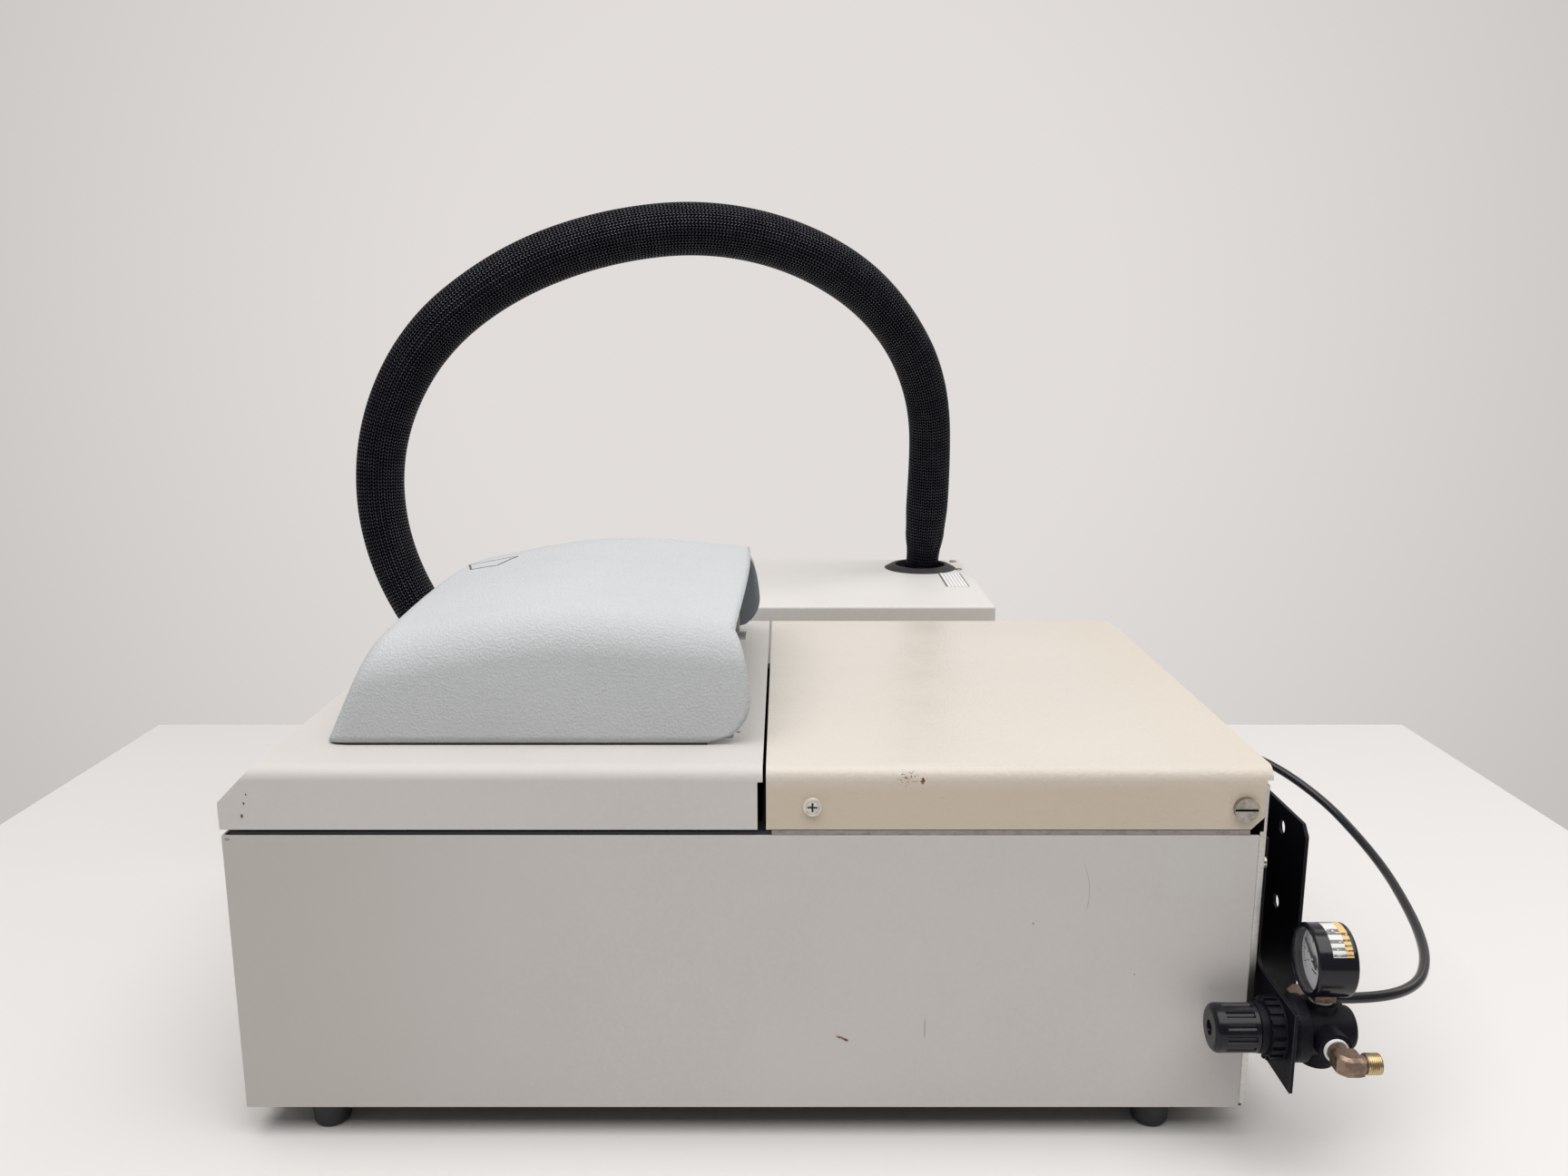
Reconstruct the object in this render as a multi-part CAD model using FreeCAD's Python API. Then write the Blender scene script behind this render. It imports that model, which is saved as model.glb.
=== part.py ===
import FreeCAD, Part
import math
import os

# Bench-top thermal analyser with a lift-up sample hood, its cooling unit, the
# insulated cooling hose between them and the purge-gas regulator on the rear panel.
# Millimetres. While it is being built, x runs from the hood end (0) to the rear panel,
# y from the near side panel (0) to the far one, and z is the height above the bench.

V = FreeCAD.Vector
X_AXIS = V(1, 0, 0)
Y_AXIS = V(0, 1, 0)
Z_AXIS = V(0, 0, 1)

# ---- driving dimensions -------------------------------------------------------------
BODY_LENGTH = 550.0
BODY_DEPTH = 348.0
FOOT_HEIGHT = 18.0
PANEL_HEIGHT = 160.0
SHEET = 1.6
COVER_GAP = 3.4
COVER_FLANGE = 34.4
COVER_BEND = 7.5
RUNNING_GAP = 0.06

PANEL_TOP = FOOT_HEIGHT + PANEL_HEIGHT
FLANGE_BOTTOM = PANEL_TOP + COVER_GAP
TOP = FLANGE_BOTTOM + COVER_FLANGE

FOOT_RADIUS = 11.5
FOOT_X = (41.0, 506.0)
FOOT_INSET = 17.0

DECK_FRONT = -0.6
DECK_NOSE = 15.0
DECK_SLOPE = 19.0
DECK_FLANGE_END = 284.0
DECK_END = 286.8
REAR_COVER_START = 288.6
REAR_COVER_END = 551.9
REAR_COVER_LIP = 555.0
REAR_COVER_LIP_HEIGHT = 7.0

PAN_SCREW = (313.0, 194.6)
PAN_SCREW_RADIUS = 4.8
THUMB_SCREW = (541.2, 193.5)
THUMB_SCREW_RADIUS = 6.4
SHANK_RADIUS = 2.0

REAR_PANEL_X = 552.0
REAR_PANEL_BACK = REAR_PANEL_X + SHEET
REAR_SCREW_Z = (54.0, 161.0)

# sample cell, under the hood
CELL_X = 150.0
CELL_Y = BODY_DEPTH / 2
CELL_HOLE = 50.0
CELL_FLANGE_RADIUS = 62.0
CELL_MOUTH = 27.0
FURNACE_RADIUS = 25.9
FURNACE_TOP = 212.0
FURNACE_BOTTOM = 150.0
WELL_RADIUS = 8.0
WELL_OFFSET = 13.0
WELL_DEPTH = 12.0
COVER_PIVOT_REACH = 54.0
COVER_DISC_RADIUS = 32.0

# hood, a thin moulding hinged at its rear lower corners
HOOD_NEAR = 37.0
HOOD_FAR = BODY_DEPTH - HOOD_NEAR
HOOD_FRONT = 44.6
HOOD_REAR = 279.7
HOOD_BASE = TOP + 1.5
HOOD_WALL = 3.0
HOOD_SLOPE_RUN = 23.5
HOOD_SLOPE_RISE = 51.0
HOOD_CORNER = 24.0
HOOD_SHOULDER = 24.0
HINGE_X = HOOD_REAR - HOOD_CORNER
HINGE_Z = HOOD_BASE + HOOD_CORNER
HINGE_ROD_RADIUS = 4.0
# x of a cross-section, height of its shoulders, height of its crown
HOOD_STATIONS = ((30.0, 266.0, 269.0), (80.0, 273.0, 282.5), (135.0, 284.5, 293.5),
                 (195.0, 286.0, 300.0), (245.0, 286.0, 294.5), (300.0, 286.0, 287.0))

# regulator, its axis along x
REG_Y = -20.0
REG_Z = 78.5
PORT_X = 581.0
BRACKET_X = 559.5
BRACKET_SHEET = 2.0
BRACKET_OUTER_X = 588.0
BRACKET_NEAR = -40.0
BRACKET_STEM = 16.0
BRACKET_INSIDE = 31.0
BRACKET_FAR = 100.0
BRACKET_BOTTOM = 52.5
BRACKET_STEP = 97.0
BRACKET_TOP = 170.0
ACCESS_HOLE_RADIUS = 4.0
ACCESS_Y = 64.0
ACCESS_Z = (110.5, 157.0)
BONNET_RADIUS = 13.0
COLLAR_RADIUS = 17.5
CHAMBER_RADIUS = 9.5
NUT_RADIUS = 16.3
KNOB_RADIUS = 12.8
KNOB_FRONT = 523.2
KNOB_BACK = 546.5
SPINDLE_RADIUS = 3.0
GAUGE_Z = 117.6
GAUGE_RADIUS = 19.0
GAUGE_FACE = 570.6
GAUGE_BACK = 591.4
DIAL_RADIUS = 16.8
INLET_Y = -54.0
THREAD_RADIUS = 5.1
INLET_KNEE = 5.4
THREAD_START = PORT_X + INLET_KNEE + 3.5
THREAD_END = 597.5
OUTLET_Y = 10.0
OUTLET_END = 600.0
BODY_START = 571.4
BODY_END = 598.0
BODY_RADIUS = 14.0
PORT_REACH = 15.0
PORT_RADIUS = 8.5
NEAR_PORT = 21.5
FAR_PORT = 19.0
BONNET_START = 547.0
SEAT_START = 552.5
SEAT_THICKNESS = 2.5
SPRING_END = BODY_START - 0.4

# cooling unit behind the instrument
COOLER_X = (131.0, 471.0)
COOLER_Y = (377.0, 590.0)
COOLER_TOP = 220.0
COOLER_BASE_Z = 15.0
RING_X = 427.0
RING_Y = 548.0
RING_INNER = 23.5
RING_OUTER = 33.5
SOCKET_FLOOR = 204.0
COOLER_FAN_X = (440.0, 468.0)
COOLER_FAN_Y = 480.0
COOLER_FAN_Z = 105.0
COOLER_FAN_SIZE = 120.0
COOLER_SWITCH_Y = 398.0
COOLER_SWITCH_Z = 188.0

# free hose and tube: their routes, each a list of points chosen by hand
HOSE_DIAMETER = 38.0
SPIGOT_LENGTH = 42.0
HOSE_ROUTE = [
    (60, 384, 135), (9, 384, 192), (-30, 391, 271), (-31, 398, 356), (6, 407, 433),
    (73, 418, 485), (152, 432, 515), (236, 446, 525), (316, 465, 508), (383, 490, 466),
    (428, 518, 395), (434, 541, 300), (RING_X, RING_Y, SOCKET_FLOOR),
]
TUBE_DIAMETER = 6.0
TUBE_ROUTE = [
    (OUTLET_END, OUTLET_Y, REG_Z), (626, 10, 78), (657, 27, 76), (677, 57, 76),
    (689, 91, 78), (696, 127, 82), (701, 164, 86), (701, 203, 92), (691, 238, 105),
    (668, 269, 120), (641, 298, 127), (608, 319, 129), (578, 322, 129),
]
TUBE_FITTING_Y = 322.0
TUBE_FITTING_Z = 129.0
TUBE_FITTING_END = 578.0

# fan, switch and mains inlet in the rear panel
SWITCH_Y = 262.0
SWITCH_Z = 50.0
INLET_SOCKET_Y = 308.0
INLET_SOCKET_Z = 50.0
FAN_Y = 230.0
FAN_Z = 110.0
FAN_SIZE = 80.0
FAN_DEPTH = 25.0
ROCKER_TILT = 7.0


# ---- helpers ------------------------------------------------------------------------
def box(x0, x1, y0, y1, z0, z1):
    return Part.makeBox(x1 - x0, y1 - y0, z1 - z0, V(x0, y0, z0))


def rod(axis, centre, radius, start, end):
    """Cylinder along a row axis, from start to end on it, through centre."""
    base = V(*centre)
    direction = {"x": X_AXIS, "y": Y_AXIS, "z": Z_AXIS}[axis]
    setattr(base, axis, start)
    return Part.makeCylinder(radius, end - start, base, direction)


def ring(axis, centre, outer, inner, start, end):
    return rod(axis, centre, outer, start, end).cut(rod(axis, centre, inner, start - 1, end + 1))


def prism(points, direction, length):
    """Closed polygon, given as 3-D points, pushed along a direction."""
    corners = [V(*p) for p in points]
    wire = Part.makePolygon(corners + [corners[0]])
    return Part.Face(wire).extrude(direction * length)


def fuse(shapes):
    return shapes[0].multiFuse(shapes[1:]).removeSplitter()


def group(shapes):
    return Part.makeCompound(shapes)


def mirror_depth(shape):
    """The same piece on the far side of the instrument's middle plane."""
    return shape.mirror(V(0, BODY_DEPTH / 2, 0), Y_AXIS)


def hexagon(axis, centre, across_flats, start, end):
    radius = across_flats / math.sqrt(3)
    corners = []
    for step in range(6):
        angle = math.radians(60 * step)
        a = radius * math.cos(angle)
        b = radius * math.sin(angle)
        if axis == "x":
            corners.append((start, centre[1] + a, centre[2] + b))
        elif axis == "y":
            corners.append((centre[0] + a, start, centre[2] + b))
        else:
            corners.append((centre[0] + a, centre[1] + b, start))
    direction = {"x": X_AXIS, "y": Y_AXIS, "z": Z_AXIS}[axis]
    return prism(corners, direction, end - start)


def rounded_tray(x0, x1, y0, y1, z0, z1, bend):
    """Block whose two long top edges are rounded."""
    block = box(x0, x1, y0, y1, z0, z1)
    long_edges = []
    for edge in block.Edges:
        low = edge.Vertexes[0].Point
        high = edge.Vertexes[1].Point
        along_x = abs(high.x - low.x) > 1
        if along_x and low.z > z1 - 0.1:
            long_edges.append(edge)
    return block.makeFillet(bend, long_edges)


def swept_tube(points, radius, name):
    """Straight runs joined by tangent arcs, each arc as large as its runs allow."""
    route = [V(*p) for p in points]
    runs = [(b - a).Length for a, b in zip(route, route[1:])]
    edges = []
    radii = []
    previous = route[0]
    length = 0.0
    for i in range(1, len(route) - 1):
        before = (route[i] - route[i - 1]).normalize()
        after = (route[i + 1] - route[i]).normalize()
        half_turn = before.getAngle(after) / 2
        shorter = min(runs[i - 1], runs[i])
        setback = 0.45 * shorter
        arc_radius = setback / math.tan(half_turn)
        radii.append(round(arc_radius))
        start = route[i] - before * setback
        end = route[i] + after * setback
        inward = (after - before).normalize()
        centre = route[i] + inward * (arc_radius / math.cos(half_turn))
        middle = centre - inward * arc_radius
        edges.append(Part.LineSegment(previous, start).toShape())
        edges.append(Part.Arc(start, middle, end).toShape())
        length += (start - previous).Length + arc_radius * 2 * half_turn
        previous = end
    edges.append(Part.LineSegment(previous, route[-1]).toShape())
    length += (route[-1] - previous).Length
    path = Part.Wire(edges)
    first = (route[1] - route[0]).normalize()
    profile = Part.Wire(Part.Circle(route[0], first, radius).toShape())
    tube = path.makePipeShell([profile], True, True)
    ideal = math.pi * radius ** 2 * length
    print(name, "length", round(length), "radii", radii, "volume ratio", round(tube.Volume / ideal, 4))
    print(name, "runs", [round(r) for r in runs])
    return tube


# ---- instrument case ----------------------------------------------------------------
def chassis_base():
    inner_near = SHEET
    inner_far = BODY_DEPTH - SHEET
    lip = 12.0
    rail_bottom = 150.0
    rail_top = 179.8
    floor = box(SHEET, REAR_PANEL_X, inner_near, inner_far, FOOT_HEIGHT, FOOT_HEIGHT + SHEET)
    near_lip = box(SHEET, REAR_PANEL_X - 2, inner_near, inner_near + SHEET,
                   FOOT_HEIGHT + SHEET, FOOT_HEIGHT + lip)
    posts = []
    for x in (4.0, 270.0, 530.0):
        posts.append(box(x, x + 16, inner_near, inner_near + SHEET, FOOT_HEIGHT + lip, rail_bottom))
    rail_start = 4.0
    rail_end = 545.0
    rail = box(rail_start, rail_end, inner_near, inner_near + SHEET, rail_bottom, rail_top)
    ledge = box(rail_start, rail_end, inner_near + SHEET, 16, rail_top - SHEET, rail_top)
    near_side = [near_lip, rail, ledge] + posts
    far_side = [mirror_depth(shape) for shape in near_side]
    standoffs = []
    for x in (308.0, 488.0):
        for y in (50.0, 172.0):
            standoffs.append(rod("z", (x, y, 0), 3.5, FOOT_HEIGHT + SHEET, 30))
    return fuse([floor] + near_side + far_side + standoffs)


def side_panel_near():
    return box(0, BODY_LENGTH, 0, SHEET, FOOT_HEIGHT, PANEL_TOP)


def side_panel_far():
    panel = box(0, BODY_LENGTH, BODY_DEPTH - SHEET, BODY_DEPTH, FOOT_HEIGHT, PANEL_TOP)
    return panel.cut(rod("y", elbow_corner(), 14.0, BODY_DEPTH - 10, BODY_DEPTH + 10))


def front_panel():
    return box(0, SHEET, SHEET, BODY_DEPTH - SHEET, FOOT_HEIGHT + SHEET, PANEL_TOP)


def inner_bulkhead():
    clearance = 2.0
    plate = box(286, 286 + SHEET, SHEET * 2 + clearance, BODY_DEPTH - SHEET * 2 - clearance,
                FOOT_HEIGHT + SHEET, 176)
    slot = box(280, 295, 150, 200, 60, 90)
    return plate.cut(slot)


def rear_panel():
    edge = 0.4
    low = FOOT_HEIGHT + 2
    plate_top = 206.0
    rim_top = FLANGE_BOTTOM - 1.4
    plate = box(REAR_PANEL_X, REAR_PANEL_BACK, edge, BODY_DEPTH - edge, low, plate_top)
    rim = box(BODY_LENGTH + 0.1, REAR_PANEL_X, edge, edge + 1.4, low, rim_top)
    panel = fuse([plate, rim, mirror_depth(rim)])
    holes = [rod("x", (0, FAN_Y, FAN_Z), 36.5, 540, 560)]
    for z in REAR_SCREW_Z:
        screw_hole = rod("x", (0, 5.0, z), SHANK_RADIUS, 540, 560)
        holes += [screw_hole, mirror_depth(screw_hole)]
    for z in ACCESS_Z:
        holes.append(rod("x", (0, ACCESS_Y, z), SHANK_RADIUS, 540, 560))
    holes.append(rod("x", (0, TUBE_FITTING_Y, TUBE_FITTING_Z), 5.0, 540, 560))
    holes.append(box(540, 560, SWITCH_Y - 11, SWITCH_Y + 11, SWITCH_Z - 15, SWITCH_Z + 15))
    holes.append(box(540, 560, INLET_SOCKET_Y - 14, INLET_SOCKET_Y + 14,
                     INLET_SOCKET_Z - 10, INLET_SOCKET_Z + 10))
    return panel.cut(holes)


def deck_cover():
    """Folded front cover: sloped nose, side flanges and the hole for the cell."""
    def block(inset, bottom):
        nose = FLANGE_BOTTOM + DECK_NOSE
        front = DECK_FRONT + inset
        top = TOP - inset
        outline = [
            (front, 0, bottom), (front, 0, nose - inset * 0.414),
            (front + DECK_SLOPE - inset * 0.172, 0, top), (DECK_END + inset * 10, 0, top),
            (DECK_END + inset * 10, 0, bottom),
        ]
        side = prism(outline, Y_AXIS, BODY_DEPTH)
        tray = rounded_tray(-5, DECK_END + inset * 10, inset, BODY_DEPTH - inset,
                            bottom, top, COVER_BEND - inset)
        return side.common(tray)

    shell = block(0, FLANGE_BOTTOM).cut(block(SHEET, FLANGE_BOTTOM - 10))
    flange_cut = box(DECK_FLANGE_END, DECK_END + 1, -1, SHEET + 1, FLANGE_BOTTOM - 1, TOP - 8)
    cell_hole = rod("z", (CELL_X, CELL_Y, 0), CELL_HOLE, TOP - 5, TOP + 5)
    return shell.cut([flange_cut, mirror_depth(flange_cut), cell_hole])


def rear_top_cover():
    outer = rounded_tray(REAR_COVER_START, REAR_COVER_END, 0, BODY_DEPTH,
                         FLANGE_BOTTOM, TOP, COVER_BEND)
    inner = rounded_tray(REAR_COVER_START - 5, REAR_COVER_END + 5, SHEET, BODY_DEPTH - SHEET,
                         FLANGE_BOTTOM - 5, TOP - SHEET, COVER_BEND - SHEET)
    lip = rounded_tray(REAR_COVER_END, REAR_COVER_LIP, 0, BODY_DEPTH, TOP - 20, TOP, COVER_BEND)
    lip = lip.cut(box(REAR_COVER_END - 1, REAR_COVER_LIP + 1, -1, BODY_DEPTH + 1,
                      TOP - 21, TOP - REAR_COVER_LIP_HEIGHT))
    corner = prism([(544, -1, FLANGE_BOTTOM - 1), (553, -1, FLANGE_BOTTOM - 1),
                    (553, -1, 189), (551, -1, 187.5)], Y_AXIS, SHEET + 2)
    cover = fuse([outer.cut(inner), lip])
    cuts = [corner, mirror_depth(corner)]
    for (x, z) in (PAN_SCREW, THUMB_SCREW):
        hole = rod("y", (x, 0, z), SHANK_RADIUS, -1, SHEET + 1)
        cuts += [hole, mirror_depth(hole)]
    return cover.cut(cuts)


def side_screw(x, z, radius, head, slot_width, cross):
    """Screw in a side flange: head outside, shank through the sheet."""
    screw = fuse([rod("y", (x, 0, z), radius, -head, 0),
                  rod("y", (x, 0, z), SHANK_RADIUS - 0.05, 0, 8)])
    half = slot_width / 2
    outside = -head - 1
    slots = [box(x - radius, x + radius, outside, -head + 0.9, z - half, z + half)]
    if cross:
        arm = radius * 0.55
        floor = -head + 1.2
        slots = [box(x - arm, x + arm, outside, floor, z - half, z + half),
                 box(x - half, x + half, outside, floor, z - arm, z + arm)]
    return screw.cut(slots)


def cover_screws():
    near = side_screw(PAN_SCREW[0], PAN_SCREW[1], PAN_SCREW_RADIUS, 2.4, 1.1, True)
    return group([near, mirror_depth(near)])


def cover_thumb_screws():
    near = side_screw(THUMB_SCREW[0], THUMB_SCREW[1], THUMB_SCREW_RADIUS, 3.4, 1.3, False)
    return group([near, mirror_depth(near)])


def rear_panel_screws():
    screws = []
    for z in REAR_SCREW_Z:
        head = rod("x", (0, 5.0, z), 3.2, REAR_PANEL_BACK, REAR_PANEL_BACK + 2.2)
        shank = rod("x", (0, 5.0, z), SHANK_RADIUS - 0.05, REAR_PANEL_X - 6, REAR_PANEL_BACK)
        screw = fuse([head, shank])
        screws += [screw, mirror_depth(screw)]
    return group(screws)


def foot(x, y, radius, height):
    body = Part.makeCone(radius * 0.86, radius, height, V(x, y, 0), Z_AXIS)
    rim = [edge for edge in body.Edges if edge.Closed and edge.CenterOfMass.z < 0.1]
    return body.makeFillet(3.0, rim)


def rubber_feet():
    feet = []
    for x in FOOT_X:
        for y in (FOOT_INSET, BODY_DEPTH - FOOT_INSET):
            feet.append(foot(x, y, FOOT_RADIUS, FOOT_HEIGHT))
    return group(feet)


# ---- hood ---------------------------------------------------------------------------
def hood_section(x, wall_top, crown, inset):
    """Closed cross-section of the hood at x: walls, rounded shoulders, crowned top."""
    shoulder = HOOD_SHOULDER - inset
    draft = 2.0
    near = HOOD_NEAR + inset
    far = HOOD_FAR - inset
    top = wall_top - inset
    corner_rise = shoulder * (1 - math.sin(math.radians(45)))
    bottom = HOOD_BASE - inset * 4
    a = V(x, near, bottom)
    b = V(x, near + draft, top - shoulder)
    b_mid = V(x, near + draft + corner_rise, top - corner_rise)
    c = V(x, near + draft + shoulder, top)
    d_mid = V(x, (near + far) / 2, crown - inset)
    d = V(x, far - draft - shoulder, top)
    e_mid = V(x, far - draft - corner_rise, top - corner_rise)
    e = V(x, far - draft, top - shoulder)
    f = V(x, far, bottom)
    return Part.Wire([
        Part.LineSegment(a, b).toShape(), Part.Arc(b, b_mid, c).toShape(),
        Part.Arc(c, d_mid, d).toShape(), Part.Arc(d, e_mid, e).toShape(),
        Part.LineSegment(e, f).toShape(), Part.LineSegment(f, a).toShape(),
    ])


def hood_body(inset):
    sections = [hood_section(x, wall, crown, inset) for (x, wall, crown) in HOOD_STATIONS]
    body = Part.makeLoft(sections, True, False)
    slope = math.hypot(HOOD_SLOPE_RUN, HOOD_SLOPE_RISE)
    shift = inset * slope / HOOD_SLOPE_RISE
    rise = 4.0
    front = HOOD_FRONT + shift
    run = HOOD_SLOPE_RUN * rise
    low = HOOD_SLOPE_RISE * 0.4
    low_run = HOOD_SLOPE_RUN * 0.4
    wedge = prism([(front - low_run, 0, HOOD_BASE - low),
                   (front + run, 0, HOOD_BASE + HOOD_SLOPE_RISE * rise),
                   (-50, 0, HOOD_BASE + HOOD_SLOPE_RISE * rise), (-50, 0, HOOD_BASE - low)],
                  Y_AXIS, BODY_DEPTH)
    return body.cut(wedge)


def hood_shell():
    """Grained moulding, open below and at the back, with a hinge boss in each wall."""
    rear_end = box(HOOD_REAR, 320, 0, BODY_DEPTH, 150, 350)
    corner = box(HINGE_X, 320, 0, BODY_DEPTH, 150, HINGE_Z)
    corner = corner.cut(rod("y", (HINGE_X, 0, HINGE_Z), HOOD_CORNER, -1, BODY_DEPTH + 1))
    shell = hood_body(0).cut([hood_body(HOOD_WALL), rear_end, corner])
    boss = rod("y", (HINGE_X, 0, HINGE_Z), 10.0, HOOD_NEAR + 1.8, 48.0)
    bore = rod("y", (HINGE_X, 0, HINGE_Z), HINGE_ROD_RADIUS + RUNNING_GAP, 42.0, 60.0)
    shell = fuse([shell, boss, mirror_depth(boss)])
    return shell.cut([bore, mirror_depth(bore)])


def hood_gasket():
    lift = 0.4
    bottom = TOP + lift
    near = box(HOOD_FRONT + 2, HINGE_X, HOOD_NEAR, HOOD_NEAR + HOOD_WALL, bottom, HOOD_BASE)
    front = box(HOOD_FRONT + 0.5, HOOD_FRONT + 3.5, HOOD_NEAR, HOOD_FAR, bottom, HOOD_BASE)
    seal = fuse([near, mirror_depth(near), front])
    for x, radius in ((HOOD_FRONT + 3.5, 9.0), (HOOD_FRONT + 0.5, 12.0)):
        upright = [edge for edge in seal.Edges if abs(edge.CenterOfMass.x - x) < 0.01
                   and abs(edge.Vertexes[0].Z - edge.Vertexes[-1].Z) > 0.5]
        seal = seal.makeFillet(radius, upright)
    return seal


def hood_hinge_brackets():
    ear = fuse([box(HINGE_X - 9, HINGE_X + 9, 50, 54, TOP, HINGE_Z),
                rod("y", (HINGE_X, 0, HINGE_Z), 9.0, 50, 54),
                box(HINGE_X - 14, HINGE_X + 14, 50, 68, TOP, TOP + 2)])
    ear = ear.cut(rod("y", (HINGE_X, 0, HINGE_Z), HINGE_ROD_RADIUS, 45, 60))
    return group([ear, mirror_depth(ear)])


def hood_hinge_rod():
    return rod("y", (HINGE_X, 0, HINGE_Z), HINGE_ROD_RADIUS, 42.5, BODY_DEPTH - 42.5)


# ---- sample cell --------------------------------------------------------------------
def cell_flange():
    """Ring plate round the cell's mouth, with the post that the cell cover swings on."""
    plate = ring("z", (CELL_X, CELL_Y, 0), CELL_FLANGE_RADIUS, CELL_MOUTH, TOP, TOP + 4)
    post = rod("z", (CELL_X, CELL_Y + COVER_PIVOT_REACH, 0), 4.0, TOP + 3, TOP + 18)
    return fuse([plate, post])


def cell_insulation():
    return ring("z", (CELL_X, CELL_Y, 0), CELL_HOLE - 0.5, FURNACE_RADIUS + 0.2, FURNACE_BOTTOM, TOP)


def furnace_block():
    block = rod("z", (CELL_X, CELL_Y, 0), FURNACE_RADIUS, FURNACE_BOTTOM, FURNACE_TOP)
    wells = []
    for side in (-1, 1):
        wells.append(rod("z", (CELL_X, CELL_Y + side * WELL_OFFSET, 0), WELL_RADIUS,
                         FURNACE_TOP - WELL_DEPTH, FURNACE_TOP + 1))
    return block.cut(wells)


def sample_pans():
    pans = []
    bottom = FURNACE_TOP - WELL_DEPTH
    for side in (-1, 1):
        centre = (CELL_X, CELL_Y + side * WELL_OFFSET, 0)
        cup = rod("z", centre, 3.6, bottom, bottom + 2.2)
        pans.append(cup.cut(rod("z", centre, 3.1, bottom + 0.5, bottom + 3)))
    return group(pans)


def cell_cover():
    """Insulated lid on a swing arm, with a lifting knob."""
    low = TOP + 4.4
    centre = (CELL_X, CELL_Y, 0)
    pivot = (CELL_X, CELL_Y + COVER_PIVOT_REACH, 0)
    disc = rod("z", centre, COVER_DISC_RADIUS, low, low + 9)
    rim = [edge for edge in disc.Edges if edge.Closed and edge.CenterOfMass.z > low + 8]
    disc = disc.makeFillet(2.0, rim)
    arm = box(CELL_X - 7, CELL_X + 7, CELL_Y, CELL_Y + COVER_PIVOT_REACH, low + 2, low + 8)
    hub = rod("z", pivot, 8.0, low, low + 12)
    stem = rod("z", centre, 3.0, low + 8, low + 14)
    knob = rod("z", centre, 7.0, low + 13, low + 20)
    cover = fuse([disc, arm, hub, stem, knob])
    return cover.cut(rod("z", pivot, 4.0 + RUNNING_GAP, low - 1, low + 20))


def elbow_direction():
    return (V(*HOSE_ROUTE[1]) - V(*HOSE_ROUTE[0])).normalize()


def elbow_corner():
    return V(*HOSE_ROUTE[0]) - elbow_direction() * SPIGOT_LENGTH


def heat_exchanger():
    """Cold block under the furnace, with the brazed line that brings the coolant."""
    corner = elbow_corner()
    bend = V(corner.x, 190.0, corner.z)
    radius = 8.0
    return fuse([rod("z", (CELL_X, CELL_Y, 0), 30.0, 88.0, FURNACE_BOTTOM),
                 rod("y", corner, radius, bend.y, BODY_DEPTH),
                 Part.makeSphere(radius, bend),
                 rod("x", bend, radius, bend.x, CELL_X)])


def hose_elbow():
    """Insulated outlet elbow on the far side panel that the cooling hose leaves."""
    corner = elbow_corner()
    radius = 24.0
    spigot = Part.makeCylinder(radius, SPIGOT_LENGTH, corner, elbow_direction())
    foot_plate = rod("y", corner, 33.0, BODY_DEPTH, BODY_DEPTH + 5)
    return fuse([spigot, Part.makeSphere(radius, corner),
                 rod("y", corner, radius, BODY_DEPTH, corner.y), foot_plate])


def cooling_hose():
    return swept_tube(HOSE_ROUTE, HOSE_DIAMETER / 2, "cooling_hose")


# ---- electronics --------------------------------------------------------------------
def circuit_board():
    low = 30.0
    board = box(300, 498, 40, 182, low, low + SHEET)
    top = low + SHEET
    pieces = [board]
    for column in range(4):
        x = 318.0 + column * 44
        pieces.append(box(x, x + 26, 60, 74, top, top + 4))
        pieces.append(box(x, x + 18, 100, 118, top, top + 3))
        pieces.append(rod("z", (x + 9, 150, 0), 8.0, top, top + 22))
    return fuse(pieces)


def power_supply():
    case = box(330, 470, 212, 318, FOOT_HEIGHT + SHEET, 76)
    slots = []
    for row in range(9):
        x = 344.0 + row * 14
        slots.append(box(x, x + 5, 226, 304, 74, 80))
    return case.cut(slots)


def fan_frame_at(x0, x1, y, z, size):
    """Square fan housing with a motor hub held by four struts at its outer face."""
    half = size / 2
    hub = size * 0.17
    frame = box(x0, x1, y - half, y + half, z - half, z + half)
    frame = frame.cut(rod("x", (0, y, z), half - 3, x0 - 1, x1 + 1))
    strut = 4.0
    spokes = fuse([box(x1 - 3, x1, y - half + 2, y + half - 2, z - strut / 2, z + strut / 2),
                   box(x1 - 3, x1, y - strut / 2, y + strut / 2, z - half + 2, z + half - 2),
                   rod("x", (0, y, z), hub, x1 - 3, x1)])
    return fuse([frame, spokes]).cut(rod("x", (0, y, z), 1.5 + RUNNING_GAP, x1 - 4, x1 - 0.8))


def fan_rotor_at(x0, x1, y, z, size):
    """Hub with seven slanted blades and the shaft that turns in the housing's hub."""
    hub = size * 0.16
    reach = size / 2 - 5
    back = x1 - 4
    front = x0 + 2
    blade_tall = 2.0
    pieces = [rod("x", (0, y, z), hub, front, back)]
    for step in range(7):
        blade = box(front + 2, back - 1, y - blade_tall / 2, y + blade_tall / 2,
                    z + hub - 1, z + reach)
        blade.rotate(V((front + back) / 2, y, z + hub), Z_AXIS, 32)
        blade.rotate(V(0, y, z), X_AXIS, 360.0 * step / 7)
        pieces.append(blade)
    envelope = rod("x", (0, y, z), reach, front, back)
    wheel = fuse(pieces).common(envelope)
    return fuse([wheel, rod("x", (0, y, z), 1.5, back - 1, x1 - 1)])


def fan_frame():
    return fan_frame_at(REAR_PANEL_X - FAN_DEPTH, REAR_PANEL_X, FAN_Y, FAN_Z, FAN_SIZE)


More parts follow.
